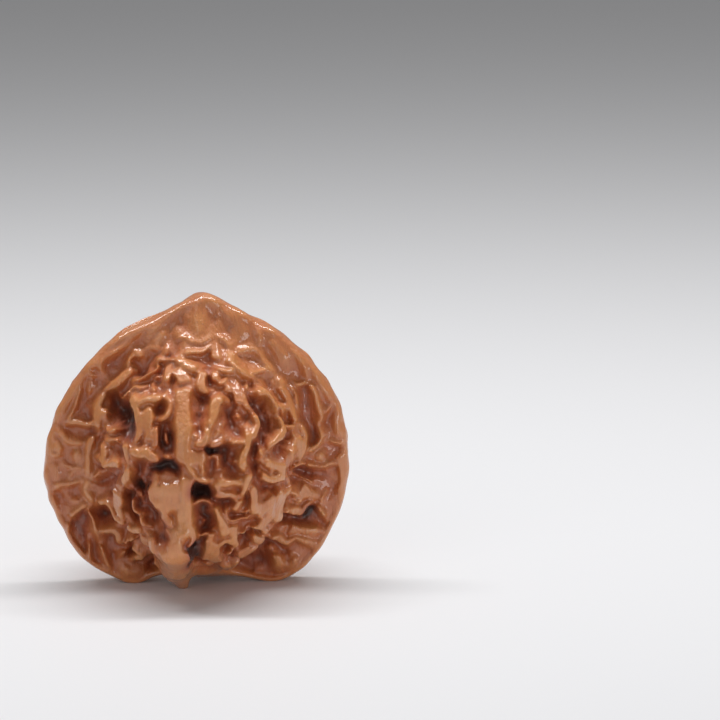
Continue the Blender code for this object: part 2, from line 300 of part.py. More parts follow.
# The hollows between them: how deep, radius, then the points it runs through
HOLLOWS = (
    (1.0, 1.5, (-11.3, 34.6), (-12.2, 33.6)),
    (0.8, 0.5, (-9.1, 35.0), (-8.6, 34.0)),
    (0.7, 0.8, (-14.6, 32.0), (-14.2, 31.4)),
    (0.6, 0.4, (-2.4, 42.4), (-2.9, 40.0), (-3.8, 38.4)),
    (0.8, 0.4, (-3.3, 36.8), (-3.7, 35.6)),
    (0.4, 0.4, (3.6, 43.0), (3.8, 41.0), (4.1, 39.6)),
    (0.6, 0.6, (-0.4, 35.2), (0.6, 34.9)),
    (1.6, 0.5, (1.7, 33.6), (1.8, 32.2), (1.7, 31.0)),
    (0.8, 0.6, (2.2, 35.6), (2.0, 34.6)),
    (1.0, 0.6, (-3.3, 33.4), (-3.4, 32.4), (-3.2, 31.0)),
    (0.9, 0.7, (-5.6, 33.8), (-5.2, 33.4)),
    (0.9, 0.6, (-5.6, 31.6), (-5.4, 30.4)),
    (1.2, 0.8, (-8.2, 33.4), (-7.2, 34.4)),
    (2.2, 1.5, (-12.3, 28.0), (-11.6, 26.6), (-11.0, 25.4)),
    (2.0, 1.1, (-11.4, 23.7), (-10.3, 23.4)),
    (1.3, 0.7, (-15.8, 27.0), (-15.9, 26.0)),
    (0.8, 1.0, (-16.9, 29.2), (-17.2, 27.6)),
    (1.1, 0.6, (-18.6, 24.4), (-16.0, 24.3)),
    (0.6, 0.7, (-19.4, 21.6), (-19.4, 19.6)),
    (0.8, 0.8, (-11.8, 21.2), (-11.7, 20.2)),
    (1.5, 0.5, (-13.6, 17.9), (-11.6, 17.9)),
    (2.0, 1.5, (-13.6, 16.2), (-13.4, 15.0)),
    (0.9, 1.1, (-20.2, 14.2), (-18.4, 14.8)),
    (2.4, 0.5, (-5.4, 24.2), (-5.3, 22.4)),
    (2.0, 1.0, (-4.2, 23.4), (-4.0, 21.4)),
    (2.5, 0.4, (-6.6, 18.7), (-5.0, 18.8), (-3.2, 18.4)),
    (0.9, 0.8, (-5.4, 27.4), (-5.0, 26.9)),
    (1.2, 0.4, (-6.8, 25.0), (-4.8, 24.9)),
    (1.0, 0.8, (0.0, 29.0), (0.2, 27.2), (0.0, 25.4)),
    (1.4, 0.5, (1.0, 29.4), (1.7, 28.4)),
    (0.8, 0.4, (0.2, 24.3), (0.5, 24.0)),
    (2.5, 0.6, (1.6, 21.1), (2.6, 21.0), (3.8, 21.2)),
    (0.9, 1.2, (2.0, 18.6), (2.4, 17.4)),
    (1.2, 1.4, (5.0, 20.2), (5.4, 17.8)),
    (1.3, 0.8, (4.6, 28.0), (4.6, 26.8)),
    (0.9, 1.1, (6.9, 26.4), (5.6, 24.4)),
    (1.2, 0.3, (5.2, 29.2), (5.4, 28.2)),
    (2.2, 0.8, (9.2, 28.8), (9.6, 27.2), (10.4, 25.6), (10.9, 24.6)),
    (2.0, 0.7, (9.8, 23.6), (9.9, 22.2)),
    (2.2, 0.4, (8.6, 21.4), (8.5, 20.0), (8.4, 18.6), (8.8, 17.2)),
    (1.8, 0.9, (13.4, 22.4), (13.0, 21.0)),
    (0.8, 0.5, (13.8, 25.5), (14.4, 25.6)),
    (1.5, 0.4, (16.0, 30.0), (16.6, 28.0), (17.0, 26.0), (17.3, 23.8), (17.8, 22.6)),
    (0.7, 0.45, (19.5, 25.8), (19.6, 24.6)),
    (0.8, 0.5, (20.4, 21.3), (20.7, 20.6)),
    (0.7, 0.5, (20.6, 17.8), (20.6, 15.0)),
    (1.4, 0.5, (16.2, 17.6), (17.4, 17.4), (18.6, 17.2)),
    (1.8, 0.5, (8.9, 15.4), (10.4, 15.3), (12.2, 15.5)),
    (0.6, 0.9, (15.6, 16.0), (17.6, 15.4)),
    (4.0, 0.45, (-0.1, 14.6), (0.8, 14.6)),
    (2.6, 0.35, (1.5, 14.3), (2.7, 13.9)),
    (2.2, 0.4, (2.8, 13.3), (4.8, 13.2)),
    (2.0, 0.9, (0.8, 11.9), (1.6, 10.6), (1.6, 9.0)),
    (1.6, 0.45, (5.4, 10.7), (6.9, 10.5)),
    (1.4, 0.4, (7.5, 14.0), (7.3, 12.8)),
    (2.0, 0.9, (6.9, 7.0), (7.4, 6.2)),
    (1.4, 0.35, (8.1, 8.0), (9.4, 7.7)),
    (0.9, 0.3, (8.2, 9.7), (9.4, 9.7)),
    (4.4, 0.8, (-0.4, 5.8), (-0.4, 4.6), (-0.7, 3.4)),
    (1.3, 0.5, (1.0, 6.9), (1.2, 6.3)),
    (1.0, 0.4, (3.8, 5.5), (4.6, 5.7)),
    (0.9, 0.6, (4.4, 3.7), (5.2, 3.8)),
    (2.4, 0.4, (-10.2, 14.4), (-10.4, 13.0), (-10.3, 11.4)),
    (1.8, 0.4, (-9.4, 15.2), (-8.4, 15.9)),
    (1.5, 0.9, (-8.7, 12.6), (-8.4, 12.2)),
    (1.2, 0.9, (-14.8, 11.8), (-13.9, 10.6)),
    (2.0, 0.9, (-17.2, 11.0), (-18.2, 9.4), (-18.3, 7.6), (-17.6, 6.4)),
    (1.3, 0.45, (-15.6, 6.6), (-15.5, 5.2), (-15.0, 3.8)),
    (1.1, 0.9, (-13.1, 7.0), (-13.0, 5.8)),
    (1.4, 0.35, (-11.6, 9.2), (-10.8, 9.0)),
    (1.4, 0.4, (-10.0, 7.9), (-9.0, 7.8)),
    (1.1, 0.35, (-10.3, 6.0), (-10.2, 5.0)),
    (2.4, 0.8, (-6.2, 8.4), (-5.4, 7.0)),
    (3.0, 0.35, (-7.4, 16.8), (-8.1, 14.6), (-7.7, 12.6), (-6.5, 10.8), (-5.4, 9.5)),
    (1.4, 0.7, (-7.2, 10.9), (-6.6, 10.6)),
    (1.8, 0.4, (13.6, 10.5), (15.4, 10.4)),
    (3.4, 0.7, (16.8, 11.0), (17.8, 10.7)),
    (1.4, 0.4, (18.6, 10.4), (19.1, 9.9)),
    (1.0, 0.4, (13.5, 12.4), (13.9, 13.2)),
    (1.4, 0.45, (11.8, 6.0), (13.0, 5.4)),
    (0.7, 0.4, (14.8, 6.1), (15.6, 5.8)),
    (1.3, 0.4, (10.6, 6.4), (10.9, 6.0)),
    (0.9, 0.8, (10.2, 4.6), (10.4, 3.2)),
)

# How deep the net is, from its crests to the floor between them
BELLY_DEPTH = 3.2
LOW_BELLY_DEPTH = 4.3
LOW_BELLY = (18.0, 8.0)     # the heights over which the one becomes the other
SHOULDER_DEPTH = 1.5        # where the belly meets the point
SHOULDERS = (30.0, 38.0)
FLANGE_DEPTH = 1.5
BELLY_EDGE = (-2.2, -0.2)   # how far the belly stands under and over the flange where the flange's depth ends
POINT_DEPTH = 0.25
POINT_HEIGHTS = (36.5, 39.5)
POINT_WIDTHS = (11.0, 6.0)
KEEL_DEPTH = 1.1
KEEL_EDGE = (1.0, 0.1)      # how far from the keel's own surface its depth ends
KEEL_KEPT = 0.9             # how much shallower hollows are on the keel's spike
SPIKE = (10.0, 7.5)         # the heights over which the spike begins
MOST_CUT = 0.70             # the most that a hollow takes of what is left to the nut's middle plane
CUT_SOFTNESS = 0.3
EDGE_FADE = (-1.6, -0.3)    # the net fades out towards the flange's edge between these distances from it

# The slopes between crests and hollows
REACH = 4.0                 # how far out a ridge or a hollow is felt
MERGING = 0.38              # over what length neighbouring crests, or hollows, run into each other
DIP = 0.45                  # how far it dips beside a crest, as a share of the depth
DIP_WIDTH = 1.05
HOLLOW_DEPTH = 0.12         # how much further it falls to a hollow, as a share of the depth
LISTED_SHARE = 0.70         # and as a share of the depth listed for that hollow
BOTTOM = 0.3                # how much of a hollow's radius is its bottom
CREST_ROUND = 0.08
BOTTOM_ROUND = 1.0
LEAST_RUN = 0.05            # keeps a slope between a crest and a bottom that meet from being endless
LIP_HEIGHT = 0.16           # the thin raised line along each crest
LIP_WIDTH = 0.28
LIP = 1.5                   # how much steeper the slope below a crest is, and how much gentler the one above
CREST_DROP = 0.25           # how far the crests lie under the main forms
LEVEL_WAVE = 0.20           # how far they rise and sink along the way
LEVEL_WAVE_SIZE = 3.4
FLOOR_WAVE = 0.22           # the same for the floors of the hollows
FLOOR_WAVE_SIZE = 1.6
WIDTH_WAVE = 0.4            # how much their widths vary
WIDTH_WAVE_SIZE = 2.8
FLANGE_WIDTH = 0.4          # how wide a crest is on the flange, as a share of what it is on the belly
TAPER = 0.35                # how much a ridge sinks at its ends
TAPER_LENGTH = 1.0          # and over what length

# The seam along the flange's edge
SEAM_DEPTH = 0.34
SEAM_WIDTH = 0.32
SEAM_HEIGHTS = (1.6, 4.0)   # it begins between these heights
EDGE_WAVE = 0.16
EDGE_WAVE_SIZE = 2.4
CALM_WIDTH = 0.5            # the edge is even this near to the seam

# The belly's sides, which turn away from the eye, are carved less deep
SIDE_SHARE = 0.6
SIDE_FACING = (0.0, 0.5)

# How the lines stray from the sketch: how far, and over what length
WANDER = (0.16, 3.2)
FRAY = (0.08, 1.5)
BACK_WANDER = (1.1, 11.0)   # on the plain face

# The cells where no ridge was sketched
CELL = 4.2
CELL_DEPTH = 1.7
CELL_WANDER = (0.8, 5.0)
WALL = 0.55                 # half the width of the walls between them
SEEN = (-0.1, 0.15)         # the sketch ends where the main form turns this far from the eye

# The small hollow folds over everything
FOLD = 2.3
FOLD_STRETCH = (1.0, 1.0, 0.6)
FOLD_WANDER = (0.6, 2.4)
FOLD_BOTTOM = 0.9           # how far from its walls a fold's bottom is
FOLD_DEPTH = 0.52
FOLD_MIDDLE = 0.6           # the share of that depth that lies under the surface it folds
CREST_FOLDS = 0.3           # how much of it is left on a crest
CREST_SIDE = 0.8            # how far from a crest it is whole
FLANGE_FOLDS = 0.4          # how much of it is left on the flange

# How the hollows lean away from the eye, so that they reach in under their lips
MOST_LEAN = 0.75            # as a share of their depth
LEAN_START = (0.05, 0.4)    # how far the main form must face the eye
LEAST_FACING = 0.2
SEED = 7

# How finely the mesh is made
FIRST_SPHERE = 6            # subdivisions of the ball that the main forms are found from
FIRST_VOXEL = 0.42
LAST_VOXEL = 0.42
MOST_TRIANGLES = 11600


def smooth_step(low, high, value):
    part = np.clip((value - low) / (high - low), 0.0, 1.0)
    return part * part * (3.0 - 2.0 * part)


def smooth_max(a, b, softness):
    part = np.clip(0.5 + 0.5 * (a - b) / softness, 0.0, 1.0)
    return b + (a - b) * part + softness * part * (1.0 - part)


def smooth_min(a, b, softness):
    return -smooth_max(-a, -b, softness)


def curve_through(points, step, closed=False):
    """Points about a step apart on the Catmull-Rom curve through these ones."""
    knots = np.array(points, float)
    if closed:
        knots = np.vstack((knots[-1], knots, knots[:2]))
    else:
        knots = np.vstack((2.0 * knots[0] - knots[1], knots, 2.0 * knots[-1] - knots[-2]))
    found = []
    for before, start, end, after in zip(knots, knots[1:], knots[2:], knots[3:]):
        count = max(2, math.ceil(np.linalg.norm(end - start) / step))
        for t in np.arange(count) / count:
            found.append(0.5 * (
                2.0 * start + (end - before) * t
                + (2.0 * before - 5.0 * start + 4.0 * end - after) * t ** 2
                + (3.0 * start - before - 3.0 * end + after) * t ** 3
            ))
    if not closed:
        found.append(knots[-2])
    return np.array(found)


def outline_by_angle():
    """The outline as its distance from the middle at each degree, and the slant of its edge there."""
    curve = curve_through(OUTLINE, 0.4, closed=True) - (MIDDLE[0], MIDDLE[2])
    angles = np.unwrap(np.arctan2(curve[:, 1], curve[:, 0]))
    reach = np.hypot(curve[:, 0], curve[:, 1])
    order = np.argsort(angles % (2.0 * math.pi))
    degrees = np.radians(np.arange(360))
    found = np.interp(degrees, angles[order] % (2.0 * math.pi), reach[order], period=2.0 * math.pi)
    slope = (np.roll(found, -1) - np.roll(found, 1)) / math.radians(2.0)
    return degrees, found, found / np.hypot(found, slope)


OUTLINE_ANGLES, OUTLINE_REACH, OUTLINE_SLANT = outline_by_angle()


def flange(points):
    """Signed distance to the flange: a plate with the sketched outline and a rounded edge."""
    across = points[:, 0] - MIDDLE[0]
    up = points[:, 2] - MIDDLE[2]
    angle = np.arctan2(up, across)
    reach = np.interp(angle, OUTLINE_ANGLES, OUTLINE_REACH, period=2.0 * math.pi)
    slant = np.interp(angle, OUTLINE_ANGLES, OUTLINE_SLANT, period=2.0 * math.pi)
    inside = (np.hypot(across, up) - reach) * slant
    half = FLANGE_EDGE_HALF + FLANGE_SWELL * np.clip(-inside, 0.0, FLANGE_SWELL_REACH)
    sideways = inside + FLANGE_ROUND
    through = np.abs(points[:, 1]) - half + FLANGE_ROUND
    outer = np.hypot(np.maximum(sideways, 0.0), np.maximum(through, 0.0))
    return outer + np.minimum(np.maximum(sideways, through), 0.0) - FLANGE_ROUND


def ellipsoid(points, centre, radii):
    from_centre = points - centre
    first = np.linalg.norm(from_centre / radii, axis=1)
    second = np.linalg.norm(from_centre / np.square(radii), axis=1)
    return first * (first - 1.0) / np.maximum(second, 1e-9)


def cone(points, top, foot, radii):
    """Signed distance to a rounded cone between two points, with its own radius at each."""
    top = np.array(top)
    along = np.array(foot) - top
    part = np.clip((points - top) @ along / (along @ along), 0.0, 1.0)
    nearest = top + part[:, None] * along
    return np.linalg.norm(points - nearest, axis=1) - (radii[0] + (radii[1] - radii[0]) * part)


def keel(points):
    upper = cone(points, KEEL_TOP, KEEL_MIDDLE, KEEL_RADII[:2])
    return smooth_min(upper, cone(points, KEEL_MIDDLE, KEEL_TIP, KEEL_RADII[1:]), KEEL_BEND)


def main_form(points):
    """Signed distance to the smooth body under the net. Its back is its front turned round."""
    folded = points.copy()
    folded[:, 0] = np.where(points[:, 1] > 0.0, -points[:, 0], points[:, 0])
    folded[:, 1] = -np.abs(points[:, 1])
    body = smooth_min(flange(points), ellipsoid(points, BELLY_CENTRE, BELLY_RADII), BLEND)
    body = smooth_min(body, cone(points, POINT_TOP, POINT_FOOT, POINT_RADII), POINT_BLEND)
    return smooth_min(body, keel(folded), KEEL_BLEND)


def slope_of(form, points, step=0.05):
    """The form's slope at each point, as unit vectors that point outwards."""
    found = np.empty_like(points)
    for axis in range(3):
        offset = np.zeros(3)
        offset[axis] = step
        found[:, axis] = form(points + offset) - form(points - offset)
    return found / np.maximum(np.linalg.norm(found, axis=1), 1e-12)[:, None]


def onto_form(points, rounds=3):
    """The points moved straight in or out until they lie on the main form."""
    for _ in range(rounds):
        points = points - main_form(points)[:, None] * slope_of(main_form, points)
    return points


def meet_form(starts, directions, furthest):
    """Where a ray from each start first meets the main form, or comes nearest to it."""
    travelled = np.zeros(len(starts))
    best = np.zeros(len(starts))
    nearest = np.full(len(starts), np.inf)
    for _ in range(90):
        gap = main_form(starts + travelled[:, None] * directions)
        closer = gap < nearest
        best[closer] = travelled[closer]
        nearest[closer] = gap[closer]
        travelled = np.minimum(travelled + 0.7 * gap, furthest)
    return starts + best[:, None] * directions


def wave_noise(points, size, seed, waves=14):
    """Smooth noise with features of about this size, between about -1 and 1."""
    draw = np.random.default_rng(seed)
    total = np.zeros(len(points))
    for _ in range(waves):
        direction = draw.normal(size=3)
        direction *= 2.0 * math.pi / (size * draw.uniform(1.2, 2.6) * np.linalg.norm(direction))
        total += np.sin(points @ direction + draw.uniform(0.0, 2.0 * math.pi))
    return total / math.sqrt(0.5 * waves) * 0.6


def wander(points, how, seed):
    """The points strayed by smooth noise: how is how far, and over what length."""
    amount, size = how
    moved = points.copy()
    for axis in range(3):
        moved[:, axis] += amount * wave_noise(points, size, seed + axis)
    return moved


def cell_gap(points, size, seed):
    """How far each point is from the nearest wall between cells scattered one to a cube of this size."""
    cube = np.floor(points / size).astype(np.int64)
    nearest = np.full(len(points), np.inf)
    second = np.full(len(points), np.inf)
    for step in np.ndindex(3, 3, 3):
        near = cube + np.array(step) - 1
        mixed = (near * (73856093, 19349663, 83492791)).sum(axis=1) + seed * 2654435761
        centre = np.empty_like(points)
        for axis in range(3):
            mixed = (mixed * 1103515245 + 12345 + axis) & 0x7FFFFFFF
            centre[:, axis] = (near[:, axis] + 0.1 + 0.8 * ((mixed >> 8) & 0xFFFF) / 65535.0) * size
        distance = np.linalg.norm(points - centre, axis=1)
        second = np.minimum(second, np.maximum(nearest, distance))
        nearest = np.minimum(nearest, distance)
    return 0.5 * (second - nearest)


def laid_on_form(sketch, step=0.3):
    """The sketched line as points on the keeled face, seen from the eye through the flange's plane."""
    curve = curve_through(sketch, step)
    on_plane = np.column_stack((curve[:, 0], np.zeros(len(curve)), curve[:, 1]))
    rays = on_plane - EYE
    length = np.linalg.norm(rays, axis=1)
    rays /= length[:, None]
    start = length - 40.0
    met = meet_form(EYE + start[:, None] * rays, rays, 60.0)
    return onto_form(met, 2)


def near_line(points, line, reach):
    """Which points lie within reach of a line, and three facts about each of those.

    They are its distance, how far from the line's nearer end its nearest place on the line is, and whether
    it lies above that place (1) or below it (-1).
    """
    low = line.min(axis=0) - reach
    high = line.max(axis=0) + reach
    picked = np.flatnonzero(np.all((points > low) & (points < high), axis=1))
    chosen = points[picked]
    distance = np.full(len(picked), np.inf)
    along = np.zeros(len(picked))
    above = np.zeros(len(picked))
    travelled = 0.0
    for start, end in zip(line, line[1:]):
        run = end - start
        length = np.linalg.norm(run)
        part = np.clip((chosen - start) @ run / max(length * length, 1e-9), 0.0, 1.0)
        offset = chosen - start - part[:, None] * run
        gap = np.linalg.norm(offset, axis=1)
        closer = gap < distance
        distance[closer] = gap[closer]
        along[closer] = travelled + part[closer] * length
        above[closer] = offset[closer, 2] / np.maximum(gap[closer], 0.3)
        travelled += length
    close = distance < reach
    to_end = np.minimum(along, travelled - along)
    return picked[close], distance[close], to_end[close], above[close]


def soften(distance, radius):
    """The distance, but rounded where it is less than the radius, so that a slope starts level."""
    return np.hypot(distance, radius) - radius


def bump(distance, width):
    return np.exp(-np.square(distance / width))


def depth_of_net(points, on_belly):
    """How far the net's floor lies under its crests."""
    height = points[:, 2]
    on_point = smooth_step(*POINT_HEIGHTS, height) * smooth_step(*POINT_WIDTHS, np.abs(points[:, 0]))
    on_keel = smooth_step(*KEEL_EDGE, keel(points))
    belly = BELLY_DEPTH + (LOW_BELLY_DEPTH - BELLY_DEPTH) * smooth_step(*LOW_BELLY, height)
    belly += (SHOULDER_DEPTH - belly) * smooth_step(*SHOULDERS, height)
    depth = FLANGE_DEPTH + (belly - FLANGE_DEPTH) * on_belly
    depth += (POINT_DEPTH - depth) * on_point
    return depth + (KEEL_DEPTH - depth) * on_keel


def ridges_near(points, widen):
    """How far each point is from a crest, counted more below it than above, and that crest's height."""
    away = np.full(len(points), REACH)
    height = np.zeros(len(points))
    weight = np.full(len(points), 1e-4)
    for kind, crest, *sketch in RIDGES:
        flat, steepness = KINDS[kind]
        picked, distance, to_end, above = near_line(points, laid_on_form(sketch), REACH)
        gap = np.maximum(distance - flat * widen[picked], 0.0) * steepness * np.power(LIP, -above)
        gap += TAPER * (1.0 - smooth_step(0.0, TAPER_LENGTH, to_end))
        share = np.exp(-gap / MERGING)
        height[picked] += share * crest
        weight[picked] += share
        away[picked] = np.minimum(away[picked], gap)
    return away, height / weight


def hollows_near(points):
    """How far each point is from the bottom of a hollow, and the depth listed for that hollow."""
    away = np.full(len(points), REACH)
    listed = np.zeros(len(points))
    weight = np.full(len(points), 1e-4)
    for depth, radius, *sketch in HOLLOWS:
        picked, distance, _, _ = near_line(points, laid_on_form(sketch, 0.5), REACH)
        gap = np.maximum(distance - BOTTOM * radius, 0.0)
        share = np.exp(-gap / MERGING)
        listed[picked] += share * depth
        weight[picked] += share
        away[picked] = np.minimum(away[picked], gap)
    return away, listed / weight


def small_folds(points, from_crest, on_belly):
    """How far the small folds sink or raise the surface, for a net as deep as the belly's."""
    to_wall = cell_gap(wander(points, FOLD_WANDER, SEED + 70) * FOLD_STRETCH, FOLD, SEED + 2)
    sunk = 1.0 - np.square(1.0 - np.minimum(to_wall / FOLD_BOTTOM, 1.0))
    share = CREST_FOLDS + (1.0 - CREST_FOLDS) * smooth_step(0.0, CREST_SIDE, from_crest)
    share *= FLANGE_FOLDS + (1.0 - FLANGE_FOLDS) * on_belly
    return FOLD_DEPTH * share * (FOLD_MIDDLE - sunk)


def seam(points):
    """The groove along the middle of the flange's edge and the waves beside it. Neither reaches the foot."""
    groove = bump(points[:, 1], SEAM_WIDTH)
    waves = EDGE_WAVE * wave_noise(points, EDGE_WAVE_SIZE, SEED + 90) * (1.0 - bump(points[:, 1], CALM_WIDTH))
    return (waves - SEAM_DEPTH * groove) * smooth_step(*SEAM_HEIGHTS, points[:, 2])


def relief_of_face(points, normals):
    """How far the carved surface lies above the main form, for points on the keeled face.

    It dips beside each crest and falls on towards the bottom of the nearest hollow.
    """
    facing = (normals * toward_eye(points)).sum(axis=1)
    seen = smooth_step(*SEEN, facing)
    on_belly = smooth_step(*BELLY_EDGE, flange(points) - ellipsoid(points, BELLY_CENTRE, BELLY_RADII))
    depth = depth_of_net(points, on_belly)
    strayed = wander(wander(points, WANDER, SEED), FRAY, SEED + 10)
    widen = 1.0 + WIDTH_WAVE * wave_noise(points, WIDTH_WAVE_SIZE, SEED + 50)
    widen *= FLANGE_WIDTH + (1.0 - FLANGE_WIDTH) * on_belly

    from_crest, crest = ridges_near(strayed, widen)
    from_bottom, listed = hollows_near(strayed)
    on_spike = smooth_step(*KEEL_EDGE, keel(points)) * smooth_step(*SPIKE, points[:, 2])
    listed = listed * (1.0 - KEEL_KEPT * on_spike)
    downhill = soften(from_crest, CREST_ROUND)
    fallen = downhill / (downhill + soften(from_bottom, BOTTOM_ROUND) + LEAST_RUN)
    relief = crest - CREST_DROP + LEVEL_WAVE * wave_noise(points, LEVEL_WAVE_SIZE, SEED + 40)
    relief += LIP_HEIGHT * bump(from_crest, LIP_WIDTH)
    relief -= DIP * depth * (1.0 - np.exp(-from_crest / DIP_WIDTH))
    relief -= (HOLLOW_DEPTH * depth + LISTED_SHARE * listed) * fallen

    walls = bump(cell_gap(wander(points, CELL_WANDER, SEED + 30), CELL, SEED), WALL)
    unseen = -CELL_DEPTH * depth / BELLY_DEPTH * (1.0 - walls)
    relief = unseen + (relief - unseen) * seen
    relief += small_folds(points, from_crest, on_belly) * depth / BELLY_DEPTH
    relief *= SIDE_SHARE + (1.0 - SIDE_SHARE) * smooth_step(*SIDE_FACING, facing)
    relief = smooth_max(relief, MOST_CUT * points[:, 1], CUT_SOFTNESS)
    relief += FLOOR_WAVE * fallen * wave_noise(points, FLOOR_WAVE_SIZE, SEED + 80)
    at_edge = smooth_step(*EDGE_FADE, flange(points * (1.0, 0.0, 1.0)))
    return relief * (1.0 - at_edge) + seam(points) * at_edge


def toward_eye(points):
    found = EYE - points
    return found / np.linalg.norm(found, axis=1)[:, None]


def carve_face(points, places, normals):
    """Points of the keeled face moved out to its crests and into its hollows."""
    toward = toward_eye(points)
    facing = (normals * toward).sum(axis=1)
    lean = toward / np.maximum(facing, LEAST_FACING)[:, None] - normals
    tilt = np.linalg.norm(lean, axis=1)
    lean *= (smooth_step(*LEAN_START, facing) * MOST_LEAN / np.maximum(tilt, MOST_LEAN))[:, None]
    return points + relief_of_face(places, normals)[:, None] * (normals + lean)


def carve(points):
    """The main form's points moved to the carved surface.

    The plain face has the keeled one's net, turned round and strayed.
    """
    normals = slope_of(main_form, points)
    carved = np.empty_like(points)
    for sign in (-1.0, 1.0):
        face = points[:, 1] * sign >= 0.0
        turn = np.array((-sign, -sign, 1.0))
        turned = points[face] * turn
        places = turned if sign < 0.0 else wander(turned, BACK_WANDER, SEED + 60)
        carved[face] = carve_face(turned, places, normals[face] * turn) * turn
    return carved


def new_object(name, points, faces):
    mesh = bpy.data.meshes.new(name)
    mesh.from_pydata((np.asarray(points) * MM).tolist(), [], np.asarray(faces).tolist())
    made = bpy.data.objects.new(name, mesh)
    bpy.context.scene.collection.objects.link(made)
    return made


def points_of(made):
    found = np.empty(len(made.data.vertices) * 3)
    made.data.vertices.foreach_get("co", found)
    return found.reshape(-1, 3) / MM


def move_points(made, points):
    made.data.vertices.foreach_set("co", (points * MM).ravel())
    made.data.update()


def apply_modifiers(made):
    graph = bpy.context.evaluated_depsgraph_get()
    made.data = bpy.data.meshes.new_from_object(made.evaluated_get(graph))
    made.modifiers.clear()


def remesh(made, voxel):
    modifier = made.modifiers.new("Even mesh", "REMESH")
    modifier.mode = "VOXEL"
    modifier.voxel_size = voxel * MM
    apply_modifiers(made)


def thin_out(made, most_triangles):
    made.modifiers.new("Triangles", "TRIANGULATE")
    apply_modifiers(made)
    modifier = made.modifiers.new("Fewer triangles", "DECIMATE")
    modifier.ratio = min(1.0, most_triangles / len(made.data.polygons))
    apply_modifiers(made)


def ball(subdivisions):
    mesh = bmesh.new()
    bmesh.ops.create_icosphere(mesh, subdivisions=subdivisions, radius=1.0)
    points = np.array([corner.co for corner in mesh.verts])
    faces = [[corner.index for corner in face.verts] for face in mesh.faces]
    mesh.free()
    return points / np.linalg.norm(points, axis=1)[:, None], faces


def cut_foot(made):
    """Cuts the foot flat at the ground, closes the cuts, and sets the shell down with its foot at zero."""
    mesh = bmesh.new()
    mesh.from_mesh(made.data)
    ground = GROUND * MM
    everything = mesh.verts[:] + mesh.edges[:] + mesh.faces[:]
    bmesh.ops.bisect_plane(
        mesh, geom=everything, plane_co=(0.0, 0.0, ground), plane_no=(0.0, 0.0, -1.0), clear_outer=True,
    )
    rims = [edge for edge in mesh.edges if edge.is_boundary]
    closed = bmesh.ops.holes_fill(mesh, edges=rims, sides=0)
    bmesh.ops.triangulate(mesh, faces=closed["faces"])
    for corner in mesh.verts:
        corner.co.z = max(corner.co.z - ground, 0.0)
    bmesh.ops.recalc_face_normals(mesh, faces=mesh.faces[:])
    mesh.to_mesh(made.data)
    mesh.free()


def shell(name, subdivisions, first_voxel, last_voxel, most_triangles):
    directions, faces = ball(subdivisions)
    reach = 34.0
    met = meet_form(directions * reach + MIDDLE, -directions, reach)
    made = new_object(name, met, faces)
    remesh(made, first_voxel)
    move_points(made, carve(onto_form(points_of(made))))
    remesh(made, last_voxel)
    thin_out(made, most_triangles)
    cut_foot(made)
    return made


def nut_material():
    material = bpy.data.materials.new("Oiled nut shell")
    material.use_nodes = True
    surface = material.node_tree.nodes["Principled BSDF"]
    surface.inputs["Base Color"].default_value = (0.42, 0.145, 0.055, 1.0)
    surface.inputs["Roughness"].default_value = 0.32
    surface.inputs["Metallic"].default_value = 0.0
    return material


def main():
    for old in list(bpy.data.objects):
        bpy.data.objects.remove(old, do_unlink=True)
    walnut = shell("walnut", FIRST_SPHERE, FIRST_VOXEL, LAST_VOXEL, MOST_TRIANGLES)
    walnut.data.materials.append(nut_material())
    walnut.data.shade_smooth()
    walnut.data.set_sharp_from_angle(angle=math.radians(60.0))


if __name__ == "__main__":
    main()
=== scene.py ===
"""The looks of a wenwan walnut: its net of ridges as a fine mesh, and the finish that years in the hand give,
with shade and highlight partly painted into its colour.

The forms are worked out in millimetres in the sketch's frame. The mesh is made in metres, standing on z = 0.
X runs across the flange, Z is up, and the keeled face looks along -Y.
"""

import math

import bmesh
import bpy
import numpy as np
from mathutils import Matrix, Vector


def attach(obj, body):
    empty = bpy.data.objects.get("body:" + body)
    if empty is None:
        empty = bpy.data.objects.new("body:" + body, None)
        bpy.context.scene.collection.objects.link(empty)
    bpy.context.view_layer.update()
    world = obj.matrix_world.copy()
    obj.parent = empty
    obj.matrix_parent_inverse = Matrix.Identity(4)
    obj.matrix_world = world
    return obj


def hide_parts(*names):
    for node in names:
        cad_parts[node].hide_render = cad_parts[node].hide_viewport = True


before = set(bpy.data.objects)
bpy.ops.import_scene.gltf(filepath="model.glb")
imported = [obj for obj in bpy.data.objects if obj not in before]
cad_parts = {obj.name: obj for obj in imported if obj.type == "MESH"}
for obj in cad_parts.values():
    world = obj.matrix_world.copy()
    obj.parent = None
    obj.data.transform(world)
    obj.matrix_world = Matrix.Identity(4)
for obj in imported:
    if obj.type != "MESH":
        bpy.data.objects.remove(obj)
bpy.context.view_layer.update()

MM = 0.001

# Main forms
BELLY_CENTRE = (0.3, 0.0, 19.9)
BELLY_RADII = (15.7, 17.4, 17.9)
FLANGE_EDGE_HALF = 2.0      # half the flange's thickness at its edge
FLANGE_SWELL = 0.26         # how much half its thickness grows for each millimetre inwards
FLANGE_SWELL_REACH = 9.0
FLANGE_ROUND = 1.5          # radius of the flange's edge
POINT_TOP = (1.1, 0.0, 42.6)
POINT_FOOT = (0.4, 0.0, 33.0)
POINT_RADII = (0.6, 8.6)    # the cone under the point, at its top and at its foot
KEEL_TOP = (-3.4, -13.2, 10.5)
KEEL_MIDDLE = (-3.3, -7.6, 5.4)
KEEL_TIP = (-2.25, -3.9, 0.9)
KEEL_RADII = (4.0, 2.75, 0.85)    # where the keel leaves the belly, in its middle, and at its tip
BLEND = 3.2                 # how softly these forms run into each other
POINT_BLEND = 3.7           # the same for the cone under the point
KEEL_BLEND = 1.3            # the same for the keel
KEEL_BEND = 0.5             # the same for the keel's two parts
MIDDLE = (0.0, 0.0, 20.0)   # every form is seen whole from here
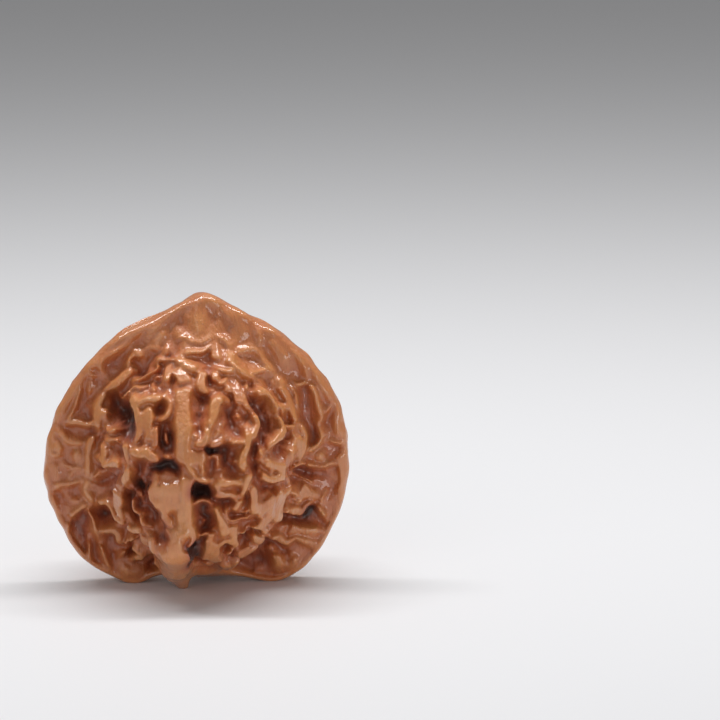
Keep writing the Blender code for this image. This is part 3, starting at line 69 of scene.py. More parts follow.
GROUND = 0.6                # where the foot is cut flat, in the sketch's height

# The net was sketched on the flange's plane, y = 0, as seen from here
EYE = (0.0, -545.1, 150.67)

# The flange's outline on that plane, anticlockwise from its right side
OUTLINE = (
    (23.0, 18.5), (22.9, 21.5), (22.7, 23.8), (22.2, 26.3), (21.4, 28.6), (20.4, 30.9), (19.0, 32.9),
    (17.3, 35.0), (15.0, 37.3), (12.2, 39.6), (9.2, 41.3), (5.8, 43.2), (3.0, 44.6), (1.1, 45.3),
    (-0.9, 44.6), (-3.5, 43.3), (-6.2, 41.8), (-9.4, 40.3), (-12.6, 38.3), (-15.2, 35.9), (-17.4, 33.6),
    (-19.2, 31.0), (-20.6, 28.4), (-21.7, 26.0), (-22.4, 23.5), (-22.9, 20.6), (-23.1, 17.8),
    (-22.9, 15.4), (-22.2, 13.0), (-20.9, 10.0), (-19.4, 7.0), (-17.2, 4.2), (-15.0, 2.6), (-12.6, 1.3),
    (-10.6, 0.4), (-8.6, 0.5), (-6.6, 1.5), (-4.4, 2.3), (0.0, 2.4), (4.0, 2.1), (6.6, 1.4), (8.8, 0.8),
    (11.2, 0.4), (13.4, 0.9), (15.8, 2.4), (18.3, 5.0), (20.0, 7.9), (21.3, 10.6), (22.2, 13.3),
    (22.8, 16.0),
)

# The kinds of ridge: half the width of its top, and how steep its sides are
KINDS = {
    "band": (1.2, 1.0),
    "lobe": (0.85, 0.8),
    "ridge": (0.45, 1.0),
    "crest": (0.18, 1.2),
    "line": (0.02, 3.0),
}

# The ridges of the keeled face: kind, height over the main forms, then the points it runs through
RIDGES = (
    # The point and the shoulders under it
    ("band", 0.1, (1.0, 44.6), (0.8, 42.4), (0.4, 40.4), (0.3, 38.9)),
    ("lobe", 0.0, (-1.9, 43.6), (-4.4, 41.6), (-6.2, 39.6), (-7.4, 38.2)),
    ("lobe", 0.0, (-5.2, 41.0), (-8.0, 39.6), (-10.2, 38.6)),
    ("lobe", -0.1, (-4.7, 39.6), (-5.6, 38.0), (-6.9, 37.4)),
    ("lobe", 0.0, (3.6, 43.4), (5.4, 41.6), (6.6, 39.8), (7.0, 38.0)),
    ("lobe", -0.1, (6.4, 42.0), (9.6, 40.2), (12.2, 38.6)),
    ("lobe", -0.1, (5.2, 40.4), (5.9, 38.6), (6.6, 37.2)),
    ("line", 0.1, (3.1, 43.2), (3.3, 41.4), (3.2, 40.0)),
    ("crest", 0.1, (-7.9, 36.6), (-6.5, 36.8), (-5.0, 36.6)),
    ("crest", 0.0, (-4.4, 37.6), (-4.5, 36.4), (-4.4, 35.4)),
    ("crest", 0.2, (-2.5, 38.3), (-1.6, 38.4), (-0.6, 37.9), (0.5, 37.8), (1.7, 38.1), (2.6, 38.6),
         (3.2, 39.0)),
    ("line", 0.2, (-1.8, 38.0), (-1.7, 37.2), (-1.4, 36.4)),
    ("line", 0.2, (-1.0, 37.8), (-1.0, 37.0), (-0.7, 36.4)),
    ("line", 0.2, (-0.2, 37.7), (-0.2, 36.9), (0.1, 36.3)),
    ("line", 0.2, (0.7, 37.8), (0.6, 37.0), (0.9, 36.5)),
    ("line", 0.2, (1.6, 38.0), (1.5, 37.3), (1.9, 36.7)),
    ("ridge", 0.4, (3.0, 39.0), (3.6, 38.5), (4.3, 38.0), (4.9, 37.6), (5.3, 36.6)),
    ("crest", 0.3, (2.7, 37.8), (2.1, 37.0), (1.5, 36.5), (0.7, 36.2), (-0.3, 36.2), (-1.2, 36.1),
         (-2.1, 35.7)),
    # Upper left of the belly
    ("ridge", 0.5, (-2.1, 35.7), (-2.6, 35.2), (-2.2, 34.5), (-1.5, 34.2), (-0.9, 33.8), (0.0, 33.5),
         (0.6, 33.4)),
    ("crest", 0.3, (-2.7, 35.0), (-3.6, 35.1), (-4.6, 35.1), (-5.4, 35.2), (-5.9, 34.8), (-6.3, 34.6)),
    ("crest", 0.3, (-5.9, 34.8), (-5.9, 34.0), (-6.3, 33.4), (-7.2, 33.0), (-8.0, 32.5), (-8.9, 32.0),
         (-9.8, 31.8)),
    ("lobe", 0.0, (-2.6, 34.3), (-2.5, 33.3), (-1.8, 32.4), (-1.4, 31.2)),
    ("line", 0.1, (-1.4, 32.6), (-0.8, 32.8), (-0.3, 33.0)),
    ("crest", -0.1, (-6.8, 32.5), (-6.0, 32.4), (-5.2, 32.7)),
    ("ridge", 0.0, (-4.4, 34.6), (-4.1, 33.6), (-4.4, 32.4), (-5.0, 31.3)),
    ("crest", -0.2, (-6.9, 31.4), (-6.6, 30.4), (-6.4, 29.6)),
    ("ridge", 0.1, (-14.4, 30.2), (-13.4, 30.7), (-12.5, 31.4), (-11.4, 32.3), (-10.2, 33.0), (-9.2, 33.5)),
    ("crest", 0.2, (-11.5, 29.3), (-10.7, 29.6), (-10.1, 30.2), (-9.5, 30.8), (-8.5, 30.6), (-7.8, 30.9)),
    ("ridge", 0.6, (-9.9, 29.4), (-9.3, 28.6), (-8.6, 28.5), (-7.6, 28.9), (-6.6, 29.1), (-5.8, 29.0),
         (-4.9, 29.4)),
    ("crest", 0.2, (-4.9, 29.4), (-4.2, 28.9), (-3.9, 28.0), (-4.0, 27.0), (-4.4, 26.3), (-5.1, 25.7),
         (-6.0, 25.6)),
    ("crest", 0.2, (-6.0, 25.6), (-6.9, 25.9), (-7.3, 26.5)),
    # The left flange
    ("crest", 0.3, (-9.2, 39.2), (-10.0, 38.2), (-10.8, 37.2), (-12.2, 36.2), (-13.6, 35.5), (-14.2, 34.4),
         (-14.0, 33.0)),
    ("lobe", 0.0, (-12.4, 37.6), (-14.6, 35.9), (-16.6, 33.6), (-18.2, 31.2), (-19.6, 28.6), (-20.6, 26.4)),
    ("lobe", -0.1, (-7.6, 36.2), (-8.9, 35.9), (-9.8, 36.9)),
    ("ridge", 0.0, (-8.4, 35.8), (-9.6, 35.4), (-10.2, 34.4), (-9.8, 33.7)),
    ("crest", 0.2, (-14.2, 34.0), (-15.4, 34.4), (-16.2, 33.5), (-15.6, 32.6), (-14.5, 32.6)),
    ("crest", 0.2, (-17.0, 33.0), (-17.5, 31.4), (-17.8, 30.0), (-18.2, 28.4), (-18.8, 26.6),
         (-19.6, 25.2)),
    ("crest", 0.1, (-15.4, 32.5), (-16.1, 30.9), (-16.2, 29.5)),
    ("ridge", 0.2, (-19.6, 25.3), (-18.2, 25.5), (-17.0, 25.2), (-16.0, 25.2), (-15.1, 25.4)),
    ("ridge", 0.0, (-21.6, 24.2), (-20.4, 23.6), (-19.8, 22.7), (-18.8, 22.2), (-17.6, 22.2),
         (-16.6, 22.5)),
    ("lobe", 0.1, (-21.6, 22.8), (-21.0, 21.6), (-20.4, 20.6)),
    ("crest", 0.2, (-22.0, 22.4), (-21.9, 21.2), (-21.8, 20.4), (-20.9, 20.4), (-20.1, 20.5)),
    ("lobe", 0.0, (-21.8, 19.4), (-21.4, 17.6), (-20.6, 16.4)),
    ("crest", 0.1, (-20.2, 19.2), (-19.4, 18.6), (-18.6, 18.3), (-17.2, 18.4)),
    ("lobe", 0.0, (-18.3, 21.6), (-17.9, 20.4), (-17.7, 19.2)),
    ("crest", 0.1, (-19.3, 15.9), (-19.2, 17.0), (-18.7, 17.7), (-17.8, 17.7)),
    ("ridge", 0.2, (-21.8, 15.2), (-20.9, 15.8), (-20.1, 15.9), (-19.2, 15.8), (-18.2, 16.2),
         (-17.2, 16.6)),
    ("crest", 0.0, (-22.2, 14.4), (-21.7, 12.8), (-20.8, 11.4)),
    ("crest", 0.0, (-19.6, 13.8), (-18.4, 13.2), (-17.2, 13.6)),
    ("ridge", 0.3, (-19.6, 10.2), (-18.8, 11.2), (-17.8, 12.0), (-17.0, 12.5), (-16.2, 12.5)),
    ("ridge", 0.2, (-19.5, 10.3), (-19.9, 9.0), (-19.6, 7.6), (-18.9, 6.3), (-17.9, 5.0)),
    ("crest", 0.3, (-16.5, 12.4), (-16.4, 11.5), (-15.9, 10.5), (-15.5, 9.4), (-15.2, 8.2), (-15.0, 6.8)),
    ("crest", 0.3, (-15.0, 6.8), (-14.6, 5.6), (-14.1, 4.4), (-13.8, 3.3), (-13.4, 2.3)),
    ("crest", 0.0, (-16.6, 7.4), (-16.6, 6.0), (-16.7, 4.8), (-16.3, 3.6)),
    # The left side of the belly
    ("ridge", 0.2, (-13.6, 30.3), (-14.4, 29.0), (-14.9, 27.6), (-15.1, 26.2), (-15.0, 25.0),
         (-15.2, 23.8)),
    ("ridge", 0.2, (-15.2, 23.8), (-15.9, 22.6), (-16.3, 21.4), (-16.5, 19.8), (-16.7, 18.4),
         (-16.6, 17.0)),
    ("ridge", 0.2, (-16.6, 17.0), (-16.7, 15.8), (-16.6, 14.7), (-16.1, 13.6), (-15.3, 12.8)),
    ("lobe", 0.0, (-14.0, 28.0), (-14.3, 26.8), (-14.0, 25.4)),
    ("crest", 0.2, (-14.0, 25.2), (-13.5, 24.2), (-12.6, 24.2), (-11.8, 24.6)),
    ("crest", 0.2, (-14.3, 22.7), (-13.4, 22.7), (-12.4, 22.8), (-11.5, 22.6)),
    ("lobe", 0.3, (-14.0, 22.4), (-14.3, 21.2), (-14.1, 20.0), (-13.7, 19.1)),
    ("ridge", 0.5, (-15.3, 20.2), (-14.6, 19.7), (-14.0, 18.9), (-13.2, 18.8), (-12.3, 18.9),
         (-11.3, 18.6)),
    ("ridge", 0.2, (-11.0, 22.6), (-10.8, 21.4), (-10.7, 20.0), (-10.6, 18.8)),
    ("lobe", 0.4, (-10.6, 18.8), (-10.6, 17.6), (-10.7, 16.4), (-10.4, 15.4)),
    ("crest", 0.0, (-16.2, 17.1), (-15.3, 17.2), (-14.7, 17.6)),
    ("lobe", 0.2, (-12.0, 15.0), (-12.2, 13.6), (-12.4, 12.2), (-11.7, 11.0), (-11.0, 10.4)),
    ("ridge", 0.2, (-15.3, 12.7), (-14.5, 13.0), (-13.8, 12.8), (-13.2, 12.0), (-12.7, 11.0), (-12.0, 10.1),
         (-11.0, 9.9)),
    ("ridge", 0.2, (-15.2, 8.4), (-14.0, 8.4), (-12.8, 8.4), (-12.1, 7.8), (-11.9, 6.8), (-11.3, 5.9)),
    ("crest", 0.1, (-12.2, 4.2), (-11.4, 4.8), (-10.8, 5.4)),
    ("crest", 0.1, (-11.4, 6.3), (-10.6, 6.7), (-9.6, 7.0)),
    ("ridge", 0.3, (-10.4, 9.8), (-10.4, 8.9), (-9.7, 8.5), (-8.8, 8.6), (-8.1, 8.3)),
    ("crest", 0.1, (-9.7, 14.0), (-9.8, 13.0), (-9.7, 12.0), (-9.2, 11.3), (-8.5, 11.1)),
    ("ridge", 0.2, (-9.2, 14.4), (-8.6, 14.0), (-7.9, 13.6)),
    ("crest", 0.2, (-8.5, 11.1), (-8.6, 10.2), (-8.2, 9.5), (-7.4, 9.1)),
    ("ridge", 0.2, (-9.8, 6.1), (-9.4, 5.4), (-8.9, 4.9), (-8.6, 4.3), (-9.2, 4.1), (-9.9, 3.8)),
    ("lobe", 0.1, (-7.9, 7.6), (-7.8, 6.4), (-7.0, 5.8), (-6.2, 5.4)),
    ("lobe", -0.1, (-11.8, 3.4), (-11.0, 2.2), (-9.8, 1.6)),
    # The bone-shaped lobe left of the keel
    ("ridge", 0.5, (-9.8, 28.7), (-9.1, 27.8), (-8.9, 26.4), (-8.7, 25.0), (-8.8, 23.8), (-9.2, 22.7),
         (-9.8, 21.8)),
    ("lobe", 0.3, (-8.0, 27.6), (-7.7, 26.2), (-7.5, 24.6), (-7.4, 23.0), (-7.6, 21.8)),
    ("ridge", 0.3, (-6.4, 25.2), (-6.1, 24.2), (-6.1, 23.0), (-6.2, 21.8), (-5.9, 20.9)),
    ("ridge", 0.6, (-10.1, 21.6), (-9.6, 20.8), (-8.7, 20.4), (-7.7, 20.5), (-6.9, 20.0), (-6.2, 19.8),
         (-5.4, 20.4)),
    ("crest", 0.1, (-5.4, 20.4), (-4.6, 20.0), (-3.9, 19.7), (-3.3, 19.8)),
    ("crest", -0.8, (-4.4, 24.4), (-4.5, 23.0), (-4.2, 21.4)),
    ("lobe", -0.9, (-7.4, 17.8), (-6.8, 17.0), (-7.6, 16.2)),
    # The keel, from the shoulder to its tip
    ("ridge", 0.5, (-1.3, 31.2), (-1.5, 29.4), (-1.6, 27.8), (-1.6, 26.0), (-1.7, 24.4), (-1.6, 22.8),
         (-1.7, 21.0)),
    ("crest", 0.3, (-2.4, 30.8), (-2.5, 28.6), (-2.5, 26.6), (-2.7, 24.8)),
    ("lobe", 0.2, (-2.1, 31.0), (-2.1, 28.4), (-2.1, 25.6), (-2.1, 22.8), (-2.0, 20.4), (-1.9, 18.4)),
    ("crest", 0.5, (-2.9, 24.5), (-2.8, 23.7), (-2.5, 22.6), (-2.5, 21.5), (-2.7, 20.6), (-2.4, 19.4),
         (-2.1, 18.2)),
    ("crest", 0.7, (-1.7, 21.0), (-1.6, 19.4), (-1.2, 18.2), (-0.8, 17.2), (-0.2, 16.4), (0.8, 16.2),
         (2.3, 16.2)),
    ("band", 0.2, (-4.2, 16.4), (-4.2, 14.8), (-4.0, 13.0), (-3.2, 11.0)),
    ("lobe", 0.4, (-5.6, 16.2), (-6.0, 14.6), (-5.8, 13.2), (-5.0, 12.0), (-4.0, 10.6)),
    ("lobe", 0.7, (-1.6, 17.0), (-1.7, 15.0), (-1.7, 13.0), (-1.7, 11.0), (-1.9, 9.0), (-2.2, 7.0)),
    ("ridge", 0.8, (-6.0, 17.3), (-6.3, 16.2), (-6.7, 15.0), (-7.1, 14.0), (-7.0, 13.1), (-6.2, 12.3),
         (-5.5, 11.4)),
    ("ridge", 0.8, (-5.5, 11.4), (-4.9, 10.4), (-4.2, 9.6), (-3.3, 9.2)),
    ("lobe", 0.4, (-3.1, 9.4), (-3.4, 7.6), (-3.2, 6.0), (-2.9, 4.4), (-2.6, 2.4), (-2.4, 0.6)),
    ("lobe", 0.2, (-5.4, 5.4), (-4.6, 4.4), (-4.0, 3.0), (-3.2, 1.6)),
    ("ridge", 0.2, (-2.0, 5.4), (-1.8, 4.0), (-1.9, 2.6), (-2.1, 1.0)),
    ("ridge", 0.4, (-1.3, 9.6), (-0.9, 8.4), (-0.7, 7.2), (-1.1, 6.2), (-1.9, 5.6)),
    ("crest", 0.2, (-5.1, 9.4), (-4.4, 8.3), (-4.0, 7.2), (-4.6, 5.8)),
    # Right of the keel
    ("crest", 0.1, (-0.9, 23.6), (-0.3, 23.4), (0.3, 22.9)),
    ("ridge", 0.4, (-0.8, 22.1), (0.2, 22.0), (0.8, 22.1), (1.2, 22.8), (1.6, 23.5), (1.6, 24.3),
         (1.6, 25.0)),
    ("crest", 0.3, (0.9, 21.8), (0.9, 20.4), (0.9, 18.8), (1.0, 17.4), (1.2, 16.4)),
    ("band", -0.1, (0.0, 21.4), (0.0, 19.8), (0.2, 18.0)),
    ("ridge", 0.6, (4.5, 28.7), (3.6, 28.8), (2.9, 28.3), (2.7, 27.3), (2.4, 26.3), (2.2, 25.3),
         (1.8, 24.2)),
    ("crest", 0.3, (3.3, 28.0), (3.1, 27.2), (2.8, 26.4)),
    ("crest", 0.3, (1.8, 23.3), (2.6, 23.0), (3.3, 23.2), (3.6, 23.9), (3.4, 24.8)),
    ("ridge", 0.2, (1.2, 21.9), (2.2, 22.0), (3.2, 22.1), (4.0, 22.5), (4.6, 22.5)),
    ("crest", 0.4, (4.5, 22.6), (5.1, 22.2), (6.0, 22.1), (6.9, 22.1), (7.7, 22.3)),
    ("crest", -0.6, (1.7, 19.5), (2.4, 20.0), (3.1, 20.1), (3.2, 19.0), (3.0, 17.8)),
    ("crest", -0.4, (5.1, 19.7), (5.8, 19.3), (6.8, 19.4)),
    ("ridge", 0.6, (7.9, 24.3), (7.9, 23.1), (7.7, 22.0), (7.6, 20.8), (7.1, 19.6), (7.1, 18.5),
         (7.7, 17.7)),
    ("ridge", 0.6, (7.7, 17.7), (7.9, 17.0), (7.5, 16.1), (7.2, 15.2), (6.8, 14.0), (6.2, 13.2)),
    ("ridge", 0.4, (3.4, 17.0), (3.8, 16.0), (4.6, 15.7), (5.6, 15.8), (6.6, 15.6), (7.2, 15.6)),
    ("crest", 0.3, (2.3, 16.2), (3.0, 15.4), (3.5, 14.5), (4.3, 14.1), (5.2, 14.2), (6.0, 14.6)),
    ("ridge", 0.4, (2.8, 15.0), (3.2, 14.2), (4.2, 13.9), (5.2, 14.0), (5.8, 13.5), (6.4, 13.3)),
    ("crest", -0.3, (6.1, 27.1), (6.4, 26.2), (6.9, 25.5)),
    ("crest", -0.3, (4.2, 25.4), (3.8, 24.6)),
    ("ridge", 0.2, (5.5, 30.1), (6.4, 29.9), (7.1, 29.7), (7.4, 28.9), (7.7, 28.0), (8.4, 27.1)),
    ("ridge", 0.4, (8.4, 27.1), (8.9, 26.0), (9.2, 25.0), (9.0, 24.0), (8.6, 23.2), (7.9, 22.6)),
    ("lobe", -0.1, (5.8, 31.6), (6.1, 30.6), (6.6, 29.0), (7.1, 27.6)),
    ("crest", 0.1, (6.2, 32.0), (6.4, 31.0), (6.3, 30.2)),
    ("crest", 0.2, (7.7, 31.6), (7.7, 30.6), (7.6, 29.8)),
    ("ridge", 0.0, (4.9, 31.8), (4.8, 30.6), (4.7, 29.4)),
    # Under the right shoulder
    ("lobe", 0.1, (2.9, 38.0), (3.2, 36.8), (3.3, 35.6), (3.2, 34.6)),
    ("ridge", 0.7, (5.3, 36.6), (5.2, 35.4), (5.5, 34.3), (6.0, 33.7), (6.8, 33.0), (7.6, 32.6),
         (8.4, 32.4)),
    ("crest", 0.4, (2.9, 34.0), (3.6, 33.4), (4.4, 33.2), (5.3, 33.1), (5.9, 33.6)),
    ("ridge", 0.2, (0.9, 33.6), (0.9, 32.4), (0.7, 31.2), (1.2, 30.3), (2.2, 30.4)),
    ("crest", 0.2, (2.6, 31.1), (3.4, 31.3), (4.3, 31.7), (4.7, 32.5)),
    ("ridge", 0.0, (2.6, 33.6), (2.7, 32.4), (2.5, 31.2)),
    ("crest", 0.3, (8.0, 32.8), (9.2, 33.0), (10.3, 33.2), (11.0, 33.4)),
    # The right side of the belly
    ("ridge", 0.6, (8.6, 29.9), (9.5, 29.8), (10.2, 29.9), (10.8, 29.3), (11.4, 28.5), (12.0, 27.5),
         (12.5, 26.4)),
    ("ridge", 0.6, (12.5, 26.4), (12.9, 25.2), (13.2, 24.2), (12.9, 23.3), (12.2, 22.4), (11.3, 21.6),
         (10.3, 20.9)),
    ("ridge", 0.4, (10.3, 20.9), (9.6, 20.4), (9.2, 19.6)),
    ("ridge", 0.3, (12.2, 31.2), (13.0, 30.2), (13.8, 29.0), (14.2, 27.8), (14.6, 26.6), (14.9, 25.6),
         (15.2, 24.6)),
    ("crest", 0.2, (13.6, 31.0), (14.4, 30.4), (14.9, 29.4), (15.1, 28.2), (15.4, 27.0)),
    ("crest", 0.4, (13.1, 24.9), (13.8, 24.6), (14.6, 24.5), (15.2, 24.7)),
    ("lobe", 0.1, (13.0, 28.6), (13.4, 27.4), (13.9, 26.4)),
    ("ridge", 0.3, (15.3, 24.5), (16.2, 24.0), (16.6, 23.2), (16.4, 22.2), (16.2, 21.2), (15.8, 20.0),
         (15.3, 19.0)),
    ("lobe", 0.4, (15.0, 23.4), (15.2, 22.2), (14.9, 21.0), (14.5, 20.0), (14.1, 19.0)),
    ("crest", 0.3, (15.3, 19.0), (15.2, 18.2), (16.0, 18.7), (16.8, 18.5)),
    ("ridge", 0.4, (10.2, 19.4), (11.0, 18.8), (11.9, 18.3), (12.8, 17.8), (13.6, 17.3)),
    ("ridge", 0.6, (13.7, 17.0), (12.8, 16.5), (11.7, 16.1), (10.7, 16.1), (10.1, 16.5), (9.4, 17.2)),
    ("crest", 0.0, (10.8, 18.0), (11.4, 17.4), (12.0, 17.2)),
    ("lobe", 0.3, (12.6, 14.8), (12.6, 13.2), (12.4, 11.6), (12.3, 10.2), (11.7, 9.0)),
    ("lobe", 0.2, (11.0, 14.0), (11.3, 12.4), (11.2, 10.8), (10.8, 9.4)),
    ("lobe", 0.0, (10.2, 13.4), (9.9, 11.8), (10.2, 10.2)),
    ("ridge", 0.3, (14.3, 15.8), (14.2, 14.9), (13.6, 13.9), (13.0, 12.8), (12.9, 11.6)),
    ("ridge", 0.4, (7.5, 15.0), (8.3, 14.6), (8.6, 13.4), (8.6, 12.2), (8.6, 11.0), (8.4, 10.2)),
    ("crest", 0.2, (5.2, 11.8), (5.9, 11.4), (6.8, 11.0), (7.6, 11.3), (8.3, 11.8)),
    ("lobe", 0.1, (5.2, 12.8), (6.0, 12.3), (7.0, 12.0)),
    ("crest", 0.1, (4.3, 12.4), (4.4, 11.4), (4.6, 10.5), (5.1, 9.9), (6.0, 10.0), (7.0, 10.2),
         (8.2, 10.2)),
    ("lobe", 0.2, (8.8, 9.2), (9.8, 9.2), (10.8, 8.6)),
    ("ridge", 0.3, (7.9, 8.8), (8.8, 8.6), (9.8, 8.3), (10.8, 7.8)),
    ("crest", 0.2, (6.2, 8.1), (7.1, 8.0), (7.9, 8.6)),
    ("ridge", 0.3, (8.0, 7.6), (8.9, 7.0), (9.9, 6.6), (10.3, 7.0)),
    # Under the keel's right side
    ("crest", -0.2, (-0.4, 12.0), (0.1, 12.8), (0.9, 13.1), (1.8, 13.0), (2.4, 12.4)),
    ("ridge", 0.6, (2.5, 12.6), (2.8, 11.6), (3.1, 10.6), (3.5, 9.6), (3.9, 8.6), (4.1, 7.8), (3.7, 7.0)),
    ("crest", -0.7, (0.5, 10.5), (1.0, 10.0), (0.8, 9.3)),
    ("crest", -0.1, (0.1, 8.0), (0.7, 7.7), (1.5, 8.0), (2.3, 8.2)),
    ("ridge", 0.3, (5.9, 9.6), (5.6, 8.6), (5.6, 7.4), (5.8, 6.4), (6.2, 5.5)),
    ("ridge", 0.1, (2.5, 8.4), (2.0, 7.0), (1.8, 5.8), (1.5, 4.6), (1.4, 3.4)),
    ("lobe", 0.3, (3.4, 6.6), (2.8, 5.8), (2.5, 4.6), (2.8, 3.6), (3.4, 3.0)),
    ("ridge", 0.3, (3.2, 5.5), (3.8, 6.3), (4.5, 6.7), (5.2, 6.5), (5.7, 6.0)),
    ("crest", 0.1, (3.7, 4.3), (4.5, 4.5), (5.2, 4.9), (5.9, 5.2)),
    ("lobe", 0.1, (7.0, 5.4), (7.6, 4.6), (8.3, 5.0), (8.7, 5.8)),
    ("ridge", 0.0, (3.8, 2.6), (4.6, 2.2), (5.4, 2.6), (6.2, 3.2), (7.0, 3.6)),
    ("lobe", 0.0, (0.6, 2.4), (1.6, 2.6), (2.4, 2.8)),
    # The right flange
    ("crest", 0.2, (9.0, 40.4), (9.3, 39.2), (9.6, 38.0), (9.4, 36.8)),
    ("ridge", 0.2, (5.8, 36.3), (7.2, 36.5), (8.6, 36.4), (9.5, 35.6), (10.1, 34.6), (11.0, 33.5),
         (11.9, 32.4)),
    ("ridge", 0.2, (11.9, 32.4), (12.8, 31.3), (13.8, 30.8)),
    ("lobe", 0.0, (11.0, 38.0), (12.0, 36.6), (12.8, 35.2), (13.6, 33.8)),
    ("crest", 0.3, (12.9, 38.3), (14.2, 37.2), (15.1, 35.8), (16.0, 34.4), (16.7, 32.9), (17.0, 31.6)),
    ("crest", 0.2, (17.0, 31.6), (16.2, 31.0), (15.2, 30.9), (14.6, 31.6)),
    ("lobe", 0.0, (14.4, 37.4), (16.8, 34.6), (18.6, 31.8), (19.8, 29.4), (20.4, 28.0)),
    ("ridge", 0.3, (16.9, 31.2), (17.7, 29.8), (18.3, 28.2), (18.7, 26.8), (18.9, 26.0), (18.5, 24.9)),
    ("ridge", 0.3, (18.5, 24.9), (18.9, 23.6), (18.9, 22.4), (18.3, 21.4), (17.2, 21.0), (16.6, 21.4)),
    ("crest", 0.1, (19.0, 26.5), (19.7, 27.0), (20.2, 28.0), (20.4, 29.0)),
    ("lobe", 0.1, (21.0, 26.8), (21.5, 25.2), (21.6, 23.8), (21.4, 22.6)),
    ("crest", 0.2, (22.4, 24.8), (22.5, 23.4), (22.2, 22.1), (21.6, 21.7), (20.6, 21.9), (19.4, 21.9)),
    ("lobe", -0.1, (17.8, 20.2), (18.8, 19.6), (19.4, 19.0)),
    ("crest", 0.1, (16.2, 18.7), (17.6, 18.3), (19.0, 18.2), (20.2, 18.7), (21.6, 18.5)),
    ("lobe", 0.0, (21.8, 20.6), (21.9, 18.4), (21.8, 16.0), (21.4, 13.8)),
    ("line", -0.1, (15.0, 17.0), (16.8, 16.1), (18.2, 15.1)),
    ("lobe", -0.1, (15.4, 14.6), (17.2, 13.8), (18.8, 13.4)),
    ("crest", 0.0, (19.6, 14.2), (19.0, 13.0), (19.4, 12.2)),
    ("crest", 0.1, (13.3, 13.6), (14.1, 14.0), (15.0, 13.8), (15.4, 13.0)),
    ("ridge", 0.3, (13.2, 11.2), (14.2, 11.2), (15.2, 11.2), (16.0, 11.1), (16.5, 11.9), (17.2, 12.5),
         (18.0, 12.5)),
    ("ridge", 0.3, (18.0, 12.5), (18.7, 11.7), (19.3, 10.7), (19.8, 9.8)),
    ("crest", 0.1, (14.8, 12.6), (15.6, 12.7), (16.4, 12.8)),
    ("lobe", 0.0, (13.8, 8.2), (15.6, 8.2), (17.6, 8.0), (19.0, 8.0)),
    ("ridge", 0.3, (11.2, 7.0), (12.2, 7.1), (12.9, 6.6), (13.5, 6.2), (14.2, 6.5), (15.0, 6.9),
         (16.0, 6.4), (17.2, 6.0)),
    ("lobe", 0.0, (11.8, 5.0), (12.2, 3.6), (12.4, 2.2)),
    ("lobe", 0.0, (14.4, 4.6), (14.8, 3.6), (14.0, 2.6)),
)

